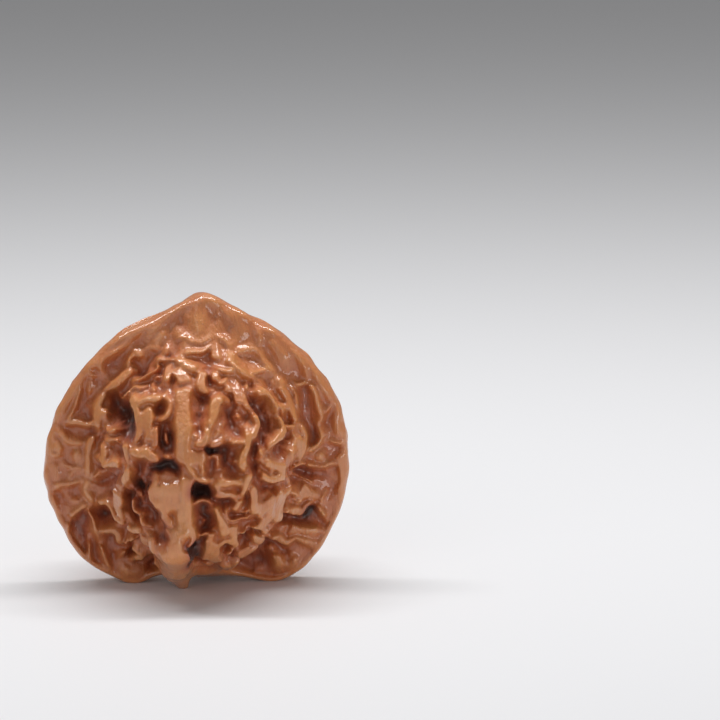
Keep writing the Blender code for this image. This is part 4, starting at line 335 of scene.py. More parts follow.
# The hollows between them: how deep, radius, then the points it runs through
HOLLOWS = (
    (1.0, 1.5, (-11.3, 34.6), (-12.2, 33.6)),
    (0.8, 0.5, (-9.1, 35.0), (-8.6, 34.0)),
    (0.7, 0.8, (-14.6, 32.0), (-14.2, 31.4)),
    (0.6, 0.4, (-2.4, 42.4), (-2.9, 40.0), (-3.8, 38.4)),
    (0.8, 0.4, (-3.3, 36.8), (-3.7, 35.6)),
    (0.4, 0.4, (3.6, 43.0), (3.8, 41.0), (4.1, 39.6)),
    (0.6, 0.6, (-0.4, 35.2), (0.6, 34.9)),
    (1.6, 0.5, (1.7, 33.6), (1.8, 32.2), (1.7, 31.0)),
    (0.8, 0.6, (2.2, 35.6), (2.0, 34.6)),
    (1.0, 0.6, (-3.3, 33.4), (-3.4, 32.4), (-3.2, 31.0)),
    (0.9, 0.7, (-5.6, 33.8), (-5.2, 33.4)),
    (0.9, 0.6, (-5.6, 31.6), (-5.4, 30.4)),
    (1.2, 0.8, (-8.2, 33.4), (-7.2, 34.4)),
    (2.2, 1.5, (-12.3, 28.0), (-11.6, 26.6), (-11.0, 25.4)),
    (2.0, 1.1, (-11.4, 23.7), (-10.3, 23.4)),
    (1.3, 0.7, (-15.8, 27.0), (-15.9, 26.0)),
    (0.8, 1.0, (-16.9, 29.2), (-17.2, 27.6)),
    (1.1, 0.6, (-18.6, 24.4), (-16.0, 24.3)),
    (0.6, 0.7, (-19.4, 21.6), (-19.4, 19.6)),
    (0.8, 0.8, (-11.8, 21.2), (-11.7, 20.2)),
    (1.5, 0.5, (-13.6, 17.9), (-11.6, 17.9)),
    (2.0, 1.5, (-13.6, 16.2), (-13.4, 15.0)),
    (0.9, 1.1, (-20.2, 14.2), (-18.4, 14.8)),
    (2.4, 0.5, (-5.4, 24.2), (-5.3, 22.4)),
    (2.0, 1.0, (-4.2, 23.4), (-4.0, 21.4)),
    (2.5, 0.4, (-6.6, 18.7), (-5.0, 18.8), (-3.2, 18.4)),
    (0.9, 0.8, (-5.4, 27.4), (-5.0, 26.9)),
    (1.2, 0.4, (-6.8, 25.0), (-4.8, 24.9)),
    (1.0, 0.8, (0.0, 29.0), (0.2, 27.2), (0.0, 25.4)),
    (1.4, 0.5, (1.0, 29.4), (1.7, 28.4)),
    (0.8, 0.4, (0.2, 24.3), (0.5, 24.0)),
    (2.5, 0.6, (1.6, 21.1), (2.6, 21.0), (3.8, 21.2)),
    (0.9, 1.2, (2.0, 18.6), (2.4, 17.4)),
    (1.2, 1.4, (5.0, 20.2), (5.4, 17.8)),
    (1.3, 0.8, (4.6, 28.0), (4.6, 26.8)),
    (0.9, 1.1, (6.9, 26.4), (5.6, 24.4)),
    (1.2, 0.3, (5.2, 29.2), (5.4, 28.2)),
    (2.2, 0.8, (9.2, 28.8), (9.6, 27.2), (10.4, 25.6), (10.9, 24.6)),
    (2.0, 0.7, (9.8, 23.6), (9.9, 22.2)),
    (2.2, 0.4, (8.6, 21.4), (8.5, 20.0), (8.4, 18.6), (8.8, 17.2)),
    (1.8, 0.9, (13.4, 22.4), (13.0, 21.0)),
    (0.8, 0.5, (13.8, 25.5), (14.4, 25.6)),
    (1.5, 0.4, (16.0, 30.0), (16.6, 28.0), (17.0, 26.0), (17.3, 23.8), (17.8, 22.6)),
    (0.7, 0.45, (19.5, 25.8), (19.6, 24.6)),
    (0.8, 0.5, (20.4, 21.3), (20.7, 20.6)),
    (0.7, 0.5, (20.6, 17.8), (20.6, 15.0)),
    (1.4, 0.5, (16.2, 17.6), (17.4, 17.4), (18.6, 17.2)),
    (1.8, 0.5, (8.9, 15.4), (10.4, 15.3), (12.2, 15.5)),
    (0.6, 0.9, (15.6, 16.0), (17.6, 15.4)),
    (4.0, 0.45, (-0.1, 14.6), (0.8, 14.6)),
    (2.6, 0.35, (1.5, 14.3), (2.7, 13.9)),
    (2.2, 0.4, (2.8, 13.3), (4.8, 13.2)),
    (2.0, 0.9, (0.8, 11.9), (1.6, 10.6), (1.6, 9.0)),
    (1.6, 0.45, (5.4, 10.7), (6.9, 10.5)),
    (1.4, 0.4, (7.5, 14.0), (7.3, 12.8)),
    (2.0, 0.9, (6.9, 7.0), (7.4, 6.2)),
    (1.4, 0.35, (8.1, 8.0), (9.4, 7.7)),
    (0.9, 0.3, (8.2, 9.7), (9.4, 9.7)),
    (4.4, 0.8, (-0.4, 5.8), (-0.4, 4.6), (-0.7, 3.4)),
    (1.3, 0.5, (1.0, 6.9), (1.2, 6.3)),
    (1.0, 0.4, (3.8, 5.5), (4.6, 5.7)),
    (0.9, 0.6, (4.4, 3.7), (5.2, 3.8)),
    (2.4, 0.4, (-10.2, 14.4), (-10.4, 13.0), (-10.3, 11.4)),
    (1.8, 0.4, (-9.4, 15.2), (-8.4, 15.9)),
    (1.5, 0.9, (-8.7, 12.6), (-8.4, 12.2)),
    (1.2, 0.9, (-14.8, 11.8), (-13.9, 10.6)),
    (2.0, 0.9, (-17.2, 11.0), (-18.2, 9.4), (-18.3, 7.6), (-17.6, 6.4)),
    (1.3, 0.45, (-15.6, 6.6), (-15.5, 5.2), (-15.0, 3.8)),
    (1.1, 0.9, (-13.1, 7.0), (-13.0, 5.8)),
    (1.4, 0.35, (-11.6, 9.2), (-10.8, 9.0)),
    (1.4, 0.4, (-10.0, 7.9), (-9.0, 7.8)),
    (1.1, 0.35, (-10.3, 6.0), (-10.2, 5.0)),
    (2.4, 0.8, (-6.2, 8.4), (-5.4, 7.0)),
    (3.0, 0.35, (-7.4, 16.8), (-8.1, 14.6), (-7.7, 12.6), (-6.5, 10.8), (-5.4, 9.5)),
    (1.4, 0.7, (-7.2, 10.9), (-6.6, 10.6)),
    (1.8, 0.4, (13.6, 10.5), (15.4, 10.4)),
    (3.4, 0.7, (16.8, 11.0), (17.8, 10.7)),
    (1.4, 0.4, (18.6, 10.4), (19.1, 9.9)),
    (1.0, 0.4, (13.5, 12.4), (13.9, 13.2)),
    (1.4, 0.45, (11.8, 6.0), (13.0, 5.4)),
    (0.7, 0.4, (14.8, 6.1), (15.6, 5.8)),
    (1.3, 0.4, (10.6, 6.4), (10.9, 6.0)),
    (0.9, 0.8, (10.2, 4.6), (10.4, 3.2)),
)

# How deep the net is, from its crests to the floor between them
BELLY_DEPTH = 3.2
LOW_BELLY_DEPTH = 4.3
LOW_BELLY = (18.0, 8.0)     # the heights over which the one becomes the other
SHOULDER_DEPTH = 1.5        # where the belly meets the point
SHOULDERS = (30.0, 38.0)
FLANGE_DEPTH = 1.5
BELLY_EDGE = (-2.2, -0.2)   # how far the belly stands under and over the flange where the flange's depth ends
POINT_DEPTH = 0.25
POINT_HEIGHTS = (36.5, 39.5)
POINT_WIDTHS = (11.0, 6.0)
KEEL_DEPTH = 1.1
KEEL_EDGE = (1.0, 0.1)      # how far from the keel's own surface its depth ends
KEEL_KEPT = 0.9             # how much shallower hollows are on the keel's spike
SPIKE = (10.0, 7.5)         # the heights over which the spike begins
MOST_CUT = 0.70             # the most that a hollow takes of what is left to the nut's middle plane
CUT_SOFTNESS = 0.3
EDGE_FADE = (-1.6, -0.3)    # the net fades out towards the flange's edge between these distances from it

# The slopes between crests and hollows
REACH = 4.0                 # how far out a ridge or a hollow is felt
MERGING = 0.38              # over what length neighbouring crests, or hollows, run into each other
DIP = 0.45                  # how far it dips beside a crest, as a share of the depth
DIP_WIDTH = 1.05
HOLLOW_DEPTH = 0.12         # how much further it falls to a hollow, as a share of the depth
LISTED_SHARE = 0.70         # and as a share of the depth listed for that hollow
BOTTOM = 0.3                # how much of a hollow's radius is its bottom
CREST_ROUND = 0.08
BOTTOM_ROUND = 1.0
LEAST_RUN = 0.05            # keeps a slope between a crest and a bottom that meet from being endless
LIP_HEIGHT = 0.16           # the thin raised line along each crest
LIP_WIDTH = 0.28
LIP = 1.5                   # how much steeper the slope below a crest is, and how much gentler the one above
CREST_DROP = 0.25           # how far the crests lie under the main forms
LEVEL_WAVE = 0.20           # how far they rise and sink along the way
LEVEL_WAVE_SIZE = 3.4
FLOOR_WAVE = 0.22           # the same for the floors of the hollows
FLOOR_WAVE_SIZE = 1.6
WIDTH_WAVE = 0.4            # how much their widths vary
WIDTH_WAVE_SIZE = 2.8
FLANGE_WIDTH = 0.4          # how wide a crest is on the flange, as a share of what it is on the belly
TAPER = 0.35                # how much a ridge sinks at its ends
TAPER_LENGTH = 1.0          # and over what length

# The seam along the flange's edge
SEAM_DEPTH = 0.34
SEAM_WIDTH = 0.32
SEAM_HEIGHTS = (1.6, 4.0)   # it begins between these heights
EDGE_WAVE = 0.16
EDGE_WAVE_SIZE = 2.4
CALM_WIDTH = 0.5            # the edge is even this near to the seam

# The belly's sides, which turn away from the eye, are carved less deep
SIDE_SHARE = 0.6            # how much of the depth is left there
SIDE_FACING = (0.0, 0.5)    # how far the main form must face the eye for this to end

# How the lines stray from the sketch: how far, and over what length
WANDER = (0.16, 3.2)
FRAY = (0.08, 1.5)
BACK_WANDER = (1.1, 11.0)   # on the plain face

# The cells where no ridge was sketched
CELL = 4.2
CELL_DEPTH = 1.7
CELL_WANDER = (0.8, 5.0)
WALL = 0.55                 # half the width of the walls between them
SEEN = (-0.1, 0.15)         # the sketch ends where the main form turns this far from the eye

# The small hollow folds over everything
FOLD = 2.3
FOLD_STRETCH = (1.0, 1.0, 0.6)
FOLD_WANDER = (0.6, 2.4)
FOLD_BOTTOM = 0.9           # how far from its walls a fold's bottom is
FOLD_DEPTH = 0.52
FOLD_MIDDLE = 0.6           # the share of that depth that lies under the surface it folds
CREST_FOLDS = 0.3           # how much of it is left on a crest
CREST_SIDE = 0.8            # how far from a crest it is whole
FLANGE_FOLDS = 0.4          # how much of it is left on the flange

# How the hollows lean away from the eye, so that they reach in under their lips
MOST_LEAN = 0.75            # as a share of their depth
LEAN_START = (0.05, 0.4)    # how far the main form must face the eye
LEAST_FACING = 0.2

# Where each noise and each scatter starts its draws
LINES_SEED = 7
CELLS_SEED = 7
FOLDS_SEED = 9
FRAY_SEED = 17
CELL_LINES_SEED = 37
LEVEL_SEED = 47
WIDTH_SEED = 57
BACK_SEED = 67
FOLD_LINES_SEED = 77
FLOOR_SEED = 87
EDGE_SEED = 97

# The smooth noise is a sum of waves
WAVES = 14
WAVE_LENGTHS = (1.2, 2.6)   # in sizes of a feature
WAVE_HEIGHT = 0.6           # keeps the sum between about -1 and 1

# The scatter: each cube's numbers are mixed into whole numbers that pass for random
CUBE_FACTORS = (73856093, 19349663, 83492791)
SEED_FACTOR = 2654435761
MIXING = (1103515245, 12345)
POSITIVE = 0x7FFFFFFF
SHORT = 0xFFFF
CUBE_MARGIN = 0.1           # how far in from its cube's sides a cell's centre stays, as a share of the cube

# How lines and rays are followed
OUTLINE_STEP = 0.4
RIDGE_STEP = 0.3
HOLLOW_STEP = 0.5
RAY_STEPS = 90
RAY_SHARE = 0.7             # how much of its distance from the form a ray travels in a step
RAY_START = 40.0            # how far before the flange's plane a ray from the eye begins
RAY_REACH = 60.0
START_REACH = 34.0          # how far from the middle the first mesh's rays begin
LEAST_GAP = 0.3             # a point nearer than this to a line is less clearly above or below it
LEAST_WEIGHT = 1e-4
TINY = 1e-9

# How finely the mesh is made.
FIRST_SPHERE = 6            # subdivisions of the ball that the main forms are found from
FIRST_VOXEL = 0.28
LAST_VOXEL = 0.21
MOST_TRIANGLES = 196000


def smooth_step(low, high, value):
    part = np.clip((value - low) / (high - low), 0.0, 1.0)
    return part * part * (3.0 - 2.0 * part)


def smooth_max(a, b, softness):
    part = np.clip(0.5 + 0.5 * (a - b) / softness, 0.0, 1.0)
    return b + (a - b) * part + softness * part * (1.0 - part)


def smooth_min(a, b, softness):
    return -smooth_max(-a, -b, softness)


def curve_through(points, step, closed=False):
    """Points about a step apart on the Catmull-Rom curve through these ones."""
    knots = np.array(points, float)
    if closed:
        knots = np.vstack((knots[-1], knots, knots[:2]))
    else:
        knots = np.vstack((2.0 * knots[0] - knots[1], knots, 2.0 * knots[-1] - knots[-2]))
    found = []
    for before, start, end, after in zip(knots, knots[1:], knots[2:], knots[3:]):
        count = max(2, math.ceil(np.linalg.norm(end - start) / step))
        for t in np.arange(count) / count:
            found.append(0.5 * (
                2.0 * start + (end - before) * t
                + (2.0 * before - 5.0 * start + 4.0 * end - after) * t ** 2
                + (3.0 * start - before - 3.0 * end + after) * t ** 3
            ))
    if not closed:
        found.append(knots[-2])
    return np.array(found)


def outline_by_angle():
    """The outline as its distance from the middle at each degree, and the slant of its edge there."""
    curve = curve_through(OUTLINE, OUTLINE_STEP, closed=True) - (MIDDLE[0], MIDDLE[2])
    angles = np.unwrap(np.arctan2(curve[:, 1], curve[:, 0]))
    reach = np.hypot(curve[:, 0], curve[:, 1])
    order = np.argsort(angles % (2.0 * math.pi))
    degrees = np.radians(np.arange(360))
    found = np.interp(degrees, angles[order] % (2.0 * math.pi), reach[order], period=2.0 * math.pi)
    slope = (np.roll(found, -1) - np.roll(found, 1)) / math.radians(2.0)
    return degrees, found, found / np.hypot(found, slope)


OUTLINE_ANGLES, OUTLINE_REACH, OUTLINE_SLANT = outline_by_angle()


def flange(points):
    """Signed distance to the flange: a plate with the sketched outline and a rounded edge."""
    across = points[:, 0] - MIDDLE[0]
    up = points[:, 2] - MIDDLE[2]
    angle = np.arctan2(up, across)
    reach = np.interp(angle, OUTLINE_ANGLES, OUTLINE_REACH, period=2.0 * math.pi)
    slant = np.interp(angle, OUTLINE_ANGLES, OUTLINE_SLANT, period=2.0 * math.pi)
    inside = (np.hypot(across, up) - reach) * slant
    half = FLANGE_EDGE_HALF + FLANGE_SWELL * np.clip(-inside, 0.0, FLANGE_SWELL_REACH)
    sideways = inside + FLANGE_ROUND
    through = np.abs(points[:, 1]) - half + FLANGE_ROUND
    outer = np.hypot(np.maximum(sideways, 0.0), np.maximum(through, 0.0))
    return outer + np.minimum(np.maximum(sideways, through), 0.0) - FLANGE_ROUND


def ellipsoid(points, centre, radii):
    from_centre = points - centre
    first = np.linalg.norm(from_centre / radii, axis=1)
    second = np.linalg.norm(from_centre / np.square(radii), axis=1)
    return first * (first - 1.0) / np.maximum(second, TINY)


def cone(points, top, foot, radii):
    """Signed distance to a rounded cone between two points, with its own radius at each."""
    top = np.array(top)
    along = np.array(foot) - top
    part = np.clip((points - top) @ along / (along @ along), 0.0, 1.0)
    nearest = top + part[:, None] * along
    return np.linalg.norm(points - nearest, axis=1) - (radii[0] + (radii[1] - radii[0]) * part)


def keel(points):
    upper = cone(points, KEEL_TOP, KEEL_MIDDLE, KEEL_RADII[:2])
    return smooth_min(upper, cone(points, KEEL_MIDDLE, KEEL_TIP, KEEL_RADII[1:]), KEEL_BEND)


def main_form(points):
    """Signed distance to the smooth body under the net. Its back is its front turned round."""
    folded = points.copy()
    folded[:, 0] = np.where(points[:, 1] > 0.0, -points[:, 0], points[:, 0])
    folded[:, 1] = -np.abs(points[:, 1])
    body = smooth_min(flange(points), ellipsoid(points, BELLY_CENTRE, BELLY_RADII), BLEND)
    body = smooth_min(body, cone(points, POINT_TOP, POINT_FOOT, POINT_RADII), POINT_BLEND)
    return smooth_min(body, keel(folded), KEEL_BLEND)


def slope_of(form, points, step=0.05):
    """The form's slope at each point, as unit vectors that point outwards."""
    found = np.empty_like(points)
    for axis in range(3):
        offset = np.zeros(3)
        offset[axis] = step
        found[:, axis] = form(points + offset) - form(points - offset)
    return found / np.maximum(np.linalg.norm(found, axis=1), TINY)[:, None]


def onto_form(points, rounds=3):
    """The points moved straight in or out until they lie on the main form."""
    for _ in range(rounds):
        points = points - main_form(points)[:, None] * slope_of(main_form, points)
    return points


def meet_form(starts, directions, furthest):
    """Where a ray from each start first meets the main form, or comes nearest to it."""
    travelled = np.zeros(len(starts))
    best = np.zeros(len(starts))
    nearest = np.full(len(starts), np.inf)
    for _ in range(RAY_STEPS):
        gap = main_form(starts + travelled[:, None] * directions)
        closer = gap < nearest
        best[closer] = travelled[closer]
        nearest[closer] = gap[closer]
        travelled = np.minimum(travelled + RAY_SHARE * gap, furthest)
    return starts + best[:, None] * directions


def wave_noise(points, size, seed):
    """Smooth noise with features of about this size, between about -1 and 1."""
    draw = np.random.default_rng(seed)
    total = np.zeros(len(points))
    for _ in range(WAVES):
        direction = draw.normal(size=3)
        direction *= 2.0 * math.pi / (size * draw.uniform(*WAVE_LENGTHS) * np.linalg.norm(direction))
        total += np.sin(points @ direction + draw.uniform(0.0, 2.0 * math.pi))
    return total / math.sqrt(0.5 * WAVES) * WAVE_HEIGHT


def wander(points, how, seed):
    """The points strayed by smooth noise: how is how far, and over what length."""
    amount, size = how
    moved = points.copy()
    for axis in range(3):
        moved[:, axis] += amount * wave_noise(points, size, seed + axis)
    return moved


def cell_gap(points, size, seed):
    """How far each point is from the nearest wall between cells scattered one to a cube of this size."""
    cube = np.floor(points / size).astype(np.int64)
    nearest = np.full(len(points), np.inf)
    second = np.full(len(points), np.inf)
    for step in np.ndindex(3, 3, 3):
        near = cube + np.array(step) - 1
        mixed = (near * CUBE_FACTORS).sum(axis=1) + seed * SEED_FACTOR
        centre = np.empty_like(points)
        for axis in range(3):
            mixed = (mixed * MIXING[0] + MIXING[1] + axis) & POSITIVE
            inner = (1.0 - 2.0 * CUBE_MARGIN) * ((mixed >> 8) & SHORT) / SHORT
            centre[:, axis] = (near[:, axis] + CUBE_MARGIN + inner) * size
        distance = np.linalg.norm(points - centre, axis=1)
        second = np.minimum(second, np.maximum(nearest, distance))
        nearest = np.minimum(nearest, distance)
    return 0.5 * (second - nearest)


def laid_on_form(sketch, step):
    """The sketched line as points on the keeled face, seen from the eye through the flange's plane."""
    curve = curve_through(sketch, step)
    on_plane = np.column_stack((curve[:, 0], np.zeros(len(curve)), curve[:, 1]))
    rays = on_plane - EYE
    length = np.linalg.norm(rays, axis=1)
    rays /= length[:, None]
    start = length - RAY_START
    met = meet_form(EYE + start[:, None] * rays, rays, RAY_REACH)
    return onto_form(met, 2)


def near_line(points, line, reach):
    """Which points lie within reach of a line, and three facts about each of those.

    They are its distance, how far from the line's nearer end its nearest place on the line is, and whether
    it lies above that place (1) or below it (-1).
    """
    low = line.min(axis=0) - reach
    high = line.max(axis=0) + reach
    picked = np.flatnonzero(np.all((points > low) & (points < high), axis=1))
    chosen = points[picked]
    distance = np.full(len(picked), np.inf)
    along = np.zeros(len(picked))
    above = np.zeros(len(picked))
    travelled = 0.0
    for start, end in zip(line, line[1:]):
        run = end - start
        length = np.linalg.norm(run)
        part = np.clip((chosen - start) @ run / max(length * length, TINY), 0.0, 1.0)
        offset = chosen - start - part[:, None] * run
        gap = np.linalg.norm(offset, axis=1)
        closer = gap < distance
        distance[closer] = gap[closer]
        along[closer] = travelled + part[closer] * length
        above[closer] = offset[closer, 2] / np.maximum(gap[closer], LEAST_GAP)
        travelled += length
    close = distance < reach
    to_end = np.minimum(along, travelled - along)
    return picked[close], distance[close], to_end[close], above[close]


def soften(distance, radius):
    """The distance, but rounded where it is less than the radius, so that a slope starts level."""
    return np.hypot(distance, radius) - radius


def bump(distance, width):
    return np.exp(-np.square(distance / width))


def depth_of_net(points, on_belly):
    """How far the net's floor lies under its crests."""
    height = points[:, 2]
    on_point = smooth_step(*POINT_HEIGHTS, height) * smooth_step(*POINT_WIDTHS, np.abs(points[:, 0]))
    on_keel = smooth_step(*KEEL_EDGE, keel(points))
    belly = BELLY_DEPTH + (LOW_BELLY_DEPTH - BELLY_DEPTH) * smooth_step(*LOW_BELLY, height)
    belly += (SHOULDER_DEPTH - belly) * smooth_step(*SHOULDERS, height)
    depth = FLANGE_DEPTH + (belly - FLANGE_DEPTH) * on_belly
    depth += (POINT_DEPTH - depth) * on_point
    return depth + (KEEL_DEPTH - depth) * on_keel


def ridges_near(points, widen):
    """How far each point is from a crest, counted more below it than above, and that crest's height."""
    away = np.full(len(points), REACH)
    height = np.zeros(len(points))
    weight = np.full(len(points), LEAST_WEIGHT)
    for kind, crest, *sketch in RIDGES:
        flat, steepness = KINDS[kind]
        picked, distance, to_end, above = near_line(points, laid_on_form(sketch, RIDGE_STEP), REACH)
        gap = np.maximum(distance - flat * widen[picked], 0.0) * steepness * np.power(LIP, -above)
        gap += TAPER * (1.0 - smooth_step(0.0, TAPER_LENGTH, to_end))
        share = np.exp(-gap / MERGING)
        height[picked] += share * crest
        weight[picked] += share
        away[picked] = np.minimum(away[picked], gap)
    return away, height / weight


def hollows_near(points):
    """How far each point is from the bottom of a hollow, and the depth listed for that hollow."""
    away = np.full(len(points), REACH)
    listed = np.zeros(len(points))
    weight = np.full(len(points), LEAST_WEIGHT)
    for depth, radius, *sketch in HOLLOWS:
        picked, distance, _, _ = near_line(points, laid_on_form(sketch, HOLLOW_STEP), REACH)
        gap = np.maximum(distance - BOTTOM * radius, 0.0)
        share = np.exp(-gap / MERGING)
        listed[picked] += share * depth
        weight[picked] += share
        away[picked] = np.minimum(away[picked], gap)
    return away, listed / weight


def small_folds(points, from_crest, on_belly):
    """How far the small folds sink or raise the surface, for a net as deep as the belly's."""
    to_wall = cell_gap(wander(points, FOLD_WANDER, FOLD_LINES_SEED) * FOLD_STRETCH, FOLD, FOLDS_SEED)
    sunk = 1.0 - np.square(1.0 - np.minimum(to_wall / FOLD_BOTTOM, 1.0))
    share = CREST_FOLDS + (1.0 - CREST_FOLDS) * smooth_step(0.0, CREST_SIDE, from_crest)
    share *= FLANGE_FOLDS + (1.0 - FLANGE_FOLDS) * on_belly
    return FOLD_DEPTH * share * (FOLD_MIDDLE - sunk)


def seam(points):
    """The groove along the middle of the flange's edge and the waves beside it. Neither reaches the foot."""
    groove = bump(points[:, 1], SEAM_WIDTH)
    waves = EDGE_WAVE * wave_noise(points, EDGE_WAVE_SIZE, EDGE_SEED)
    waves *= 1.0 - bump(points[:, 1], CALM_WIDTH)
    return (waves - SEAM_DEPTH * groove) * smooth_step(*SEAM_HEIGHTS, points[:, 2])


def strayed(points):
    """Where the points find the sketched net, whose lines don't run as smoothly as they were drawn."""
    return wander(wander(points, WANDER, LINES_SEED), FRAY, FRAY_SEED)


def relief_of_face(points, normals):
    """How far the carved surface lies above the main form, for points on the keeled face.

    It dips beside each crest and falls on towards the bottom of the nearest hollow.
    """
    facing = (normals * toward_eye(points)).sum(axis=1)
    seen = smooth_step(*SEEN, facing)
    on_belly = smooth_step(*BELLY_EDGE, flange(points) - ellipsoid(points, BELLY_CENTRE, BELLY_RADII))
    depth = depth_of_net(points, on_belly)
    places = strayed(points)
    widen = 1.0 + WIDTH_WAVE * wave_noise(points, WIDTH_WAVE_SIZE, WIDTH_SEED)
    widen *= FLANGE_WIDTH + (1.0 - FLANGE_WIDTH) * on_belly

    from_crest, crest = ridges_near(places, widen)
    from_bottom, listed = hollows_near(places)
    on_spike = smooth_step(*KEEL_EDGE, keel(points)) * smooth_step(*SPIKE, points[:, 2])
    listed = listed * (1.0 - KEEL_KEPT * on_spike)
    downhill = soften(from_crest, CREST_ROUND)
    fallen = downhill / (downhill + soften(from_bottom, BOTTOM_ROUND) + LEAST_RUN)
    relief = crest - CREST_DROP + LEVEL_WAVE * wave_noise(points, LEVEL_WAVE_SIZE, LEVEL_SEED)
    relief += LIP_HEIGHT * bump(from_crest, LIP_WIDTH)
    relief -= DIP * depth * (1.0 - np.exp(-from_crest / DIP_WIDTH))
    relief -= (HOLLOW_DEPTH * depth + LISTED_SHARE * listed) * fallen

    walls = bump(cell_gap(wander(points, CELL_WANDER, CELL_LINES_SEED), CELL, CELLS_SEED), WALL)
    unseen = -CELL_DEPTH * depth / BELLY_DEPTH * (1.0 - walls)
    relief = unseen + (relief - unseen) * seen
    relief += small_folds(points, from_crest, on_belly) * depth / BELLY_DEPTH
    relief *= SIDE_SHARE + (1.0 - SIDE_SHARE) * smooth_step(*SIDE_FACING, facing)
    relief = smooth_max(relief, MOST_CUT * points[:, 1], CUT_SOFTNESS)
    relief += FLOOR_WAVE * fallen * wave_noise(points, FLOOR_WAVE_SIZE, FLOOR_SEED)
    at_edge = smooth_step(*EDGE_FADE, flange(points * (1.0, 0.0, 1.0)))
    return relief * (1.0 - at_edge) + seam(points) * at_edge


def toward_eye(points):
    found = EYE - points
    return found / np.linalg.norm(found, axis=1)[:, None]


def carve_face(points, places, normals):
    """Points of the keeled face moved out to its crests and into its hollows."""
    toward = toward_eye(points)
    facing = (normals * toward).sum(axis=1)
    lean = toward / np.maximum(facing, LEAST_FACING)[:, None] - normals
    tilt = np.linalg.norm(lean, axis=1)
    lean *= (smooth_step(*LEAN_START, facing) * MOST_LEAN / np.maximum(tilt, MOST_LEAN))[:, None]
    return points + relief_of_face(places, normals)[:, None] * (normals + lean)


def both_faces(points, bases):
    """The keeled face and then the plain one, which has the keeled one's net, turned round and strayed.

    For each: which points are its own, the turn to the keeled face, and their bases turned, then strayed too.
    """
    for sign in (-1.0, 1.0):
        face = points[:, 1] * sign >= 0.0
        turn = np.array((-sign, -sign, 1.0))
        turned = bases[face] * turn
        places = turned if sign < 0.0 else wander(turned, BACK_WANDER, BACK_SEED)
        yield face, turn, turned, places


def carve(points):
    """The main form's points moved to the carved surface."""
    normals = slope_of(main_form, points)
    carved = np.empty_like(points)
    for face, turn, turned, places in both_faces(points, points):
        carved[face] = carve_face(turned, places, normals[face] * turn) * turn
    return carved


def new_object(name, points, faces):
    mesh = bpy.data.meshes.new(name)
    mesh.from_pydata((np.asarray(points) * MM).tolist(), [], np.asarray(faces).tolist())
    made = bpy.data.objects.new(name, mesh)
    bpy.context.scene.collection.objects.link(made)
    return made


def points_of(made):
    found = np.empty(len(made.data.vertices) * 3)
    made.data.vertices.foreach_get("co", found)
    return found.reshape(-1, 3) / MM


def move_points(made, points):
    made.data.vertices.foreach_set("co", (points * MM).ravel())
    made.data.update()


def apply_modifiers(made):
    graph = bpy.context.evaluated_depsgraph_get()
    made.data = bpy.data.meshes.new_from_object(made.evaluated_get(graph))
    made.modifiers.clear()


def remesh(made, voxel):
    modifier = made.modifiers.new("Even mesh", "REMESH")
    modifier.mode = "VOXEL"
    modifier.voxel_size = voxel * MM
    apply_modifiers(made)


def thin_out(made, most_triangles):
    made.modifiers.new("Triangles", "TRIANGULATE")
    apply_modifiers(made)
    modifier = made.modifiers.new("Fewer triangles", "DECIMATE")
    modifier.ratio = min(1.0, most_triangles / len(made.data.polygons))
    apply_modifiers(made)


def ball(subdivisions):
    mesh = bmesh.new()
    bmesh.ops.create_icosphere(mesh, subdivisions=subdivisions, radius=1.0)
    points = np.array([corner.co for corner in mesh.verts])
    faces = [[corner.index for corner in face.verts] for face in mesh.faces]
    mesh.free()
    return points / np.linalg.norm(points, axis=1)[:, None], faces


def cut_foot(made):
    """Cuts the foot flat at the ground, closes the cuts, and sets the shell down with its foot at zero."""
    mesh = bmesh.new()
    mesh.from_mesh(made.data)
    ground = GROUND * MM
    everything = mesh.verts[:] + mesh.edges[:] + mesh.faces[:]
    bmesh.ops.bisect_plane(
        mesh, geom=everything, plane_co=(0.0, 0.0, ground), plane_no=(0.0, 0.0, -1.0), clear_outer=True,
    )
    rims = [edge for edge in mesh.edges if edge.is_boundary]
    closed = bmesh.ops.holes_fill(mesh, edges=rims, sides=0)
    bmesh.ops.triangulate(mesh, faces=closed["faces"])
    for corner in mesh.verts:
        corner.co.z = max(corner.co.z - ground, 0.0)
    bmesh.ops.recalc_face_normals(mesh, faces=mesh.faces[:])
    mesh.to_mesh(made.data)
    mesh.free()


def shell(name, subdivisions, first_voxel, last_voxel, most_triangles):
    directions, faces = ball(subdivisions)
    met = meet_form(directions * START_REACH + MIDDLE, -directions, START_REACH)
    made = new_object(name, met, faces)
    remesh(made, first_voxel)
    move_points(made, carve(onto_form(points_of(made))))
    remesh(made, last_voxel)
    thin_out(made, most_triangles)
    cut_foot(made)
    return made


# The finish, whose colour darkens with depth: partly patina, partly painted shade in the hollows. Colours are
# as a screen shows them, from 0 to 255.
# From light crests to nearly black pits: patina, with painted highlight on the crests and painted shade in
# the hollows
SHELL_AND_SHADE_COLOURS = (
    (201, 130, 72),         # crests
    (189, 111, 58),
    (177, 94, 49),          # slopes
    (153, 74, 42),          # hollows
    (66, 28, 16),           # pits
)
SHELL_PLACES = (0.0, 0.2, 0.45, 0.68, 1.0)    # where on the way to the deepest each of these five lies
HIGHEST = -0.6              # how deep the crest colour ends
DEEPEST = 4.0               # how deep the pit colour begins
WEAR_AND_SHADE = -1.0               # what standing out counts for beside depth: crests lighter for wear and painted highlight, hollows darker for painted shade
PIT_SHADE_AND_PATINA = 2.0                  # the same for the painted shade and patina in the deepest pits, and below for the noises
MOTTLE = 0.22
FLECK = 0.16
GRAIN = 0.14
MOTTLE_SIZE = 7.0
FLECK_SIZE = 0.9
WRINKLE_SIZE = 0.8
GRAIN_SIZE = (0.4, 0.4, 5.0)
MIDDLE_NOISE = (0.25, 0.75) # the part of the noise texture's range that it keeps to
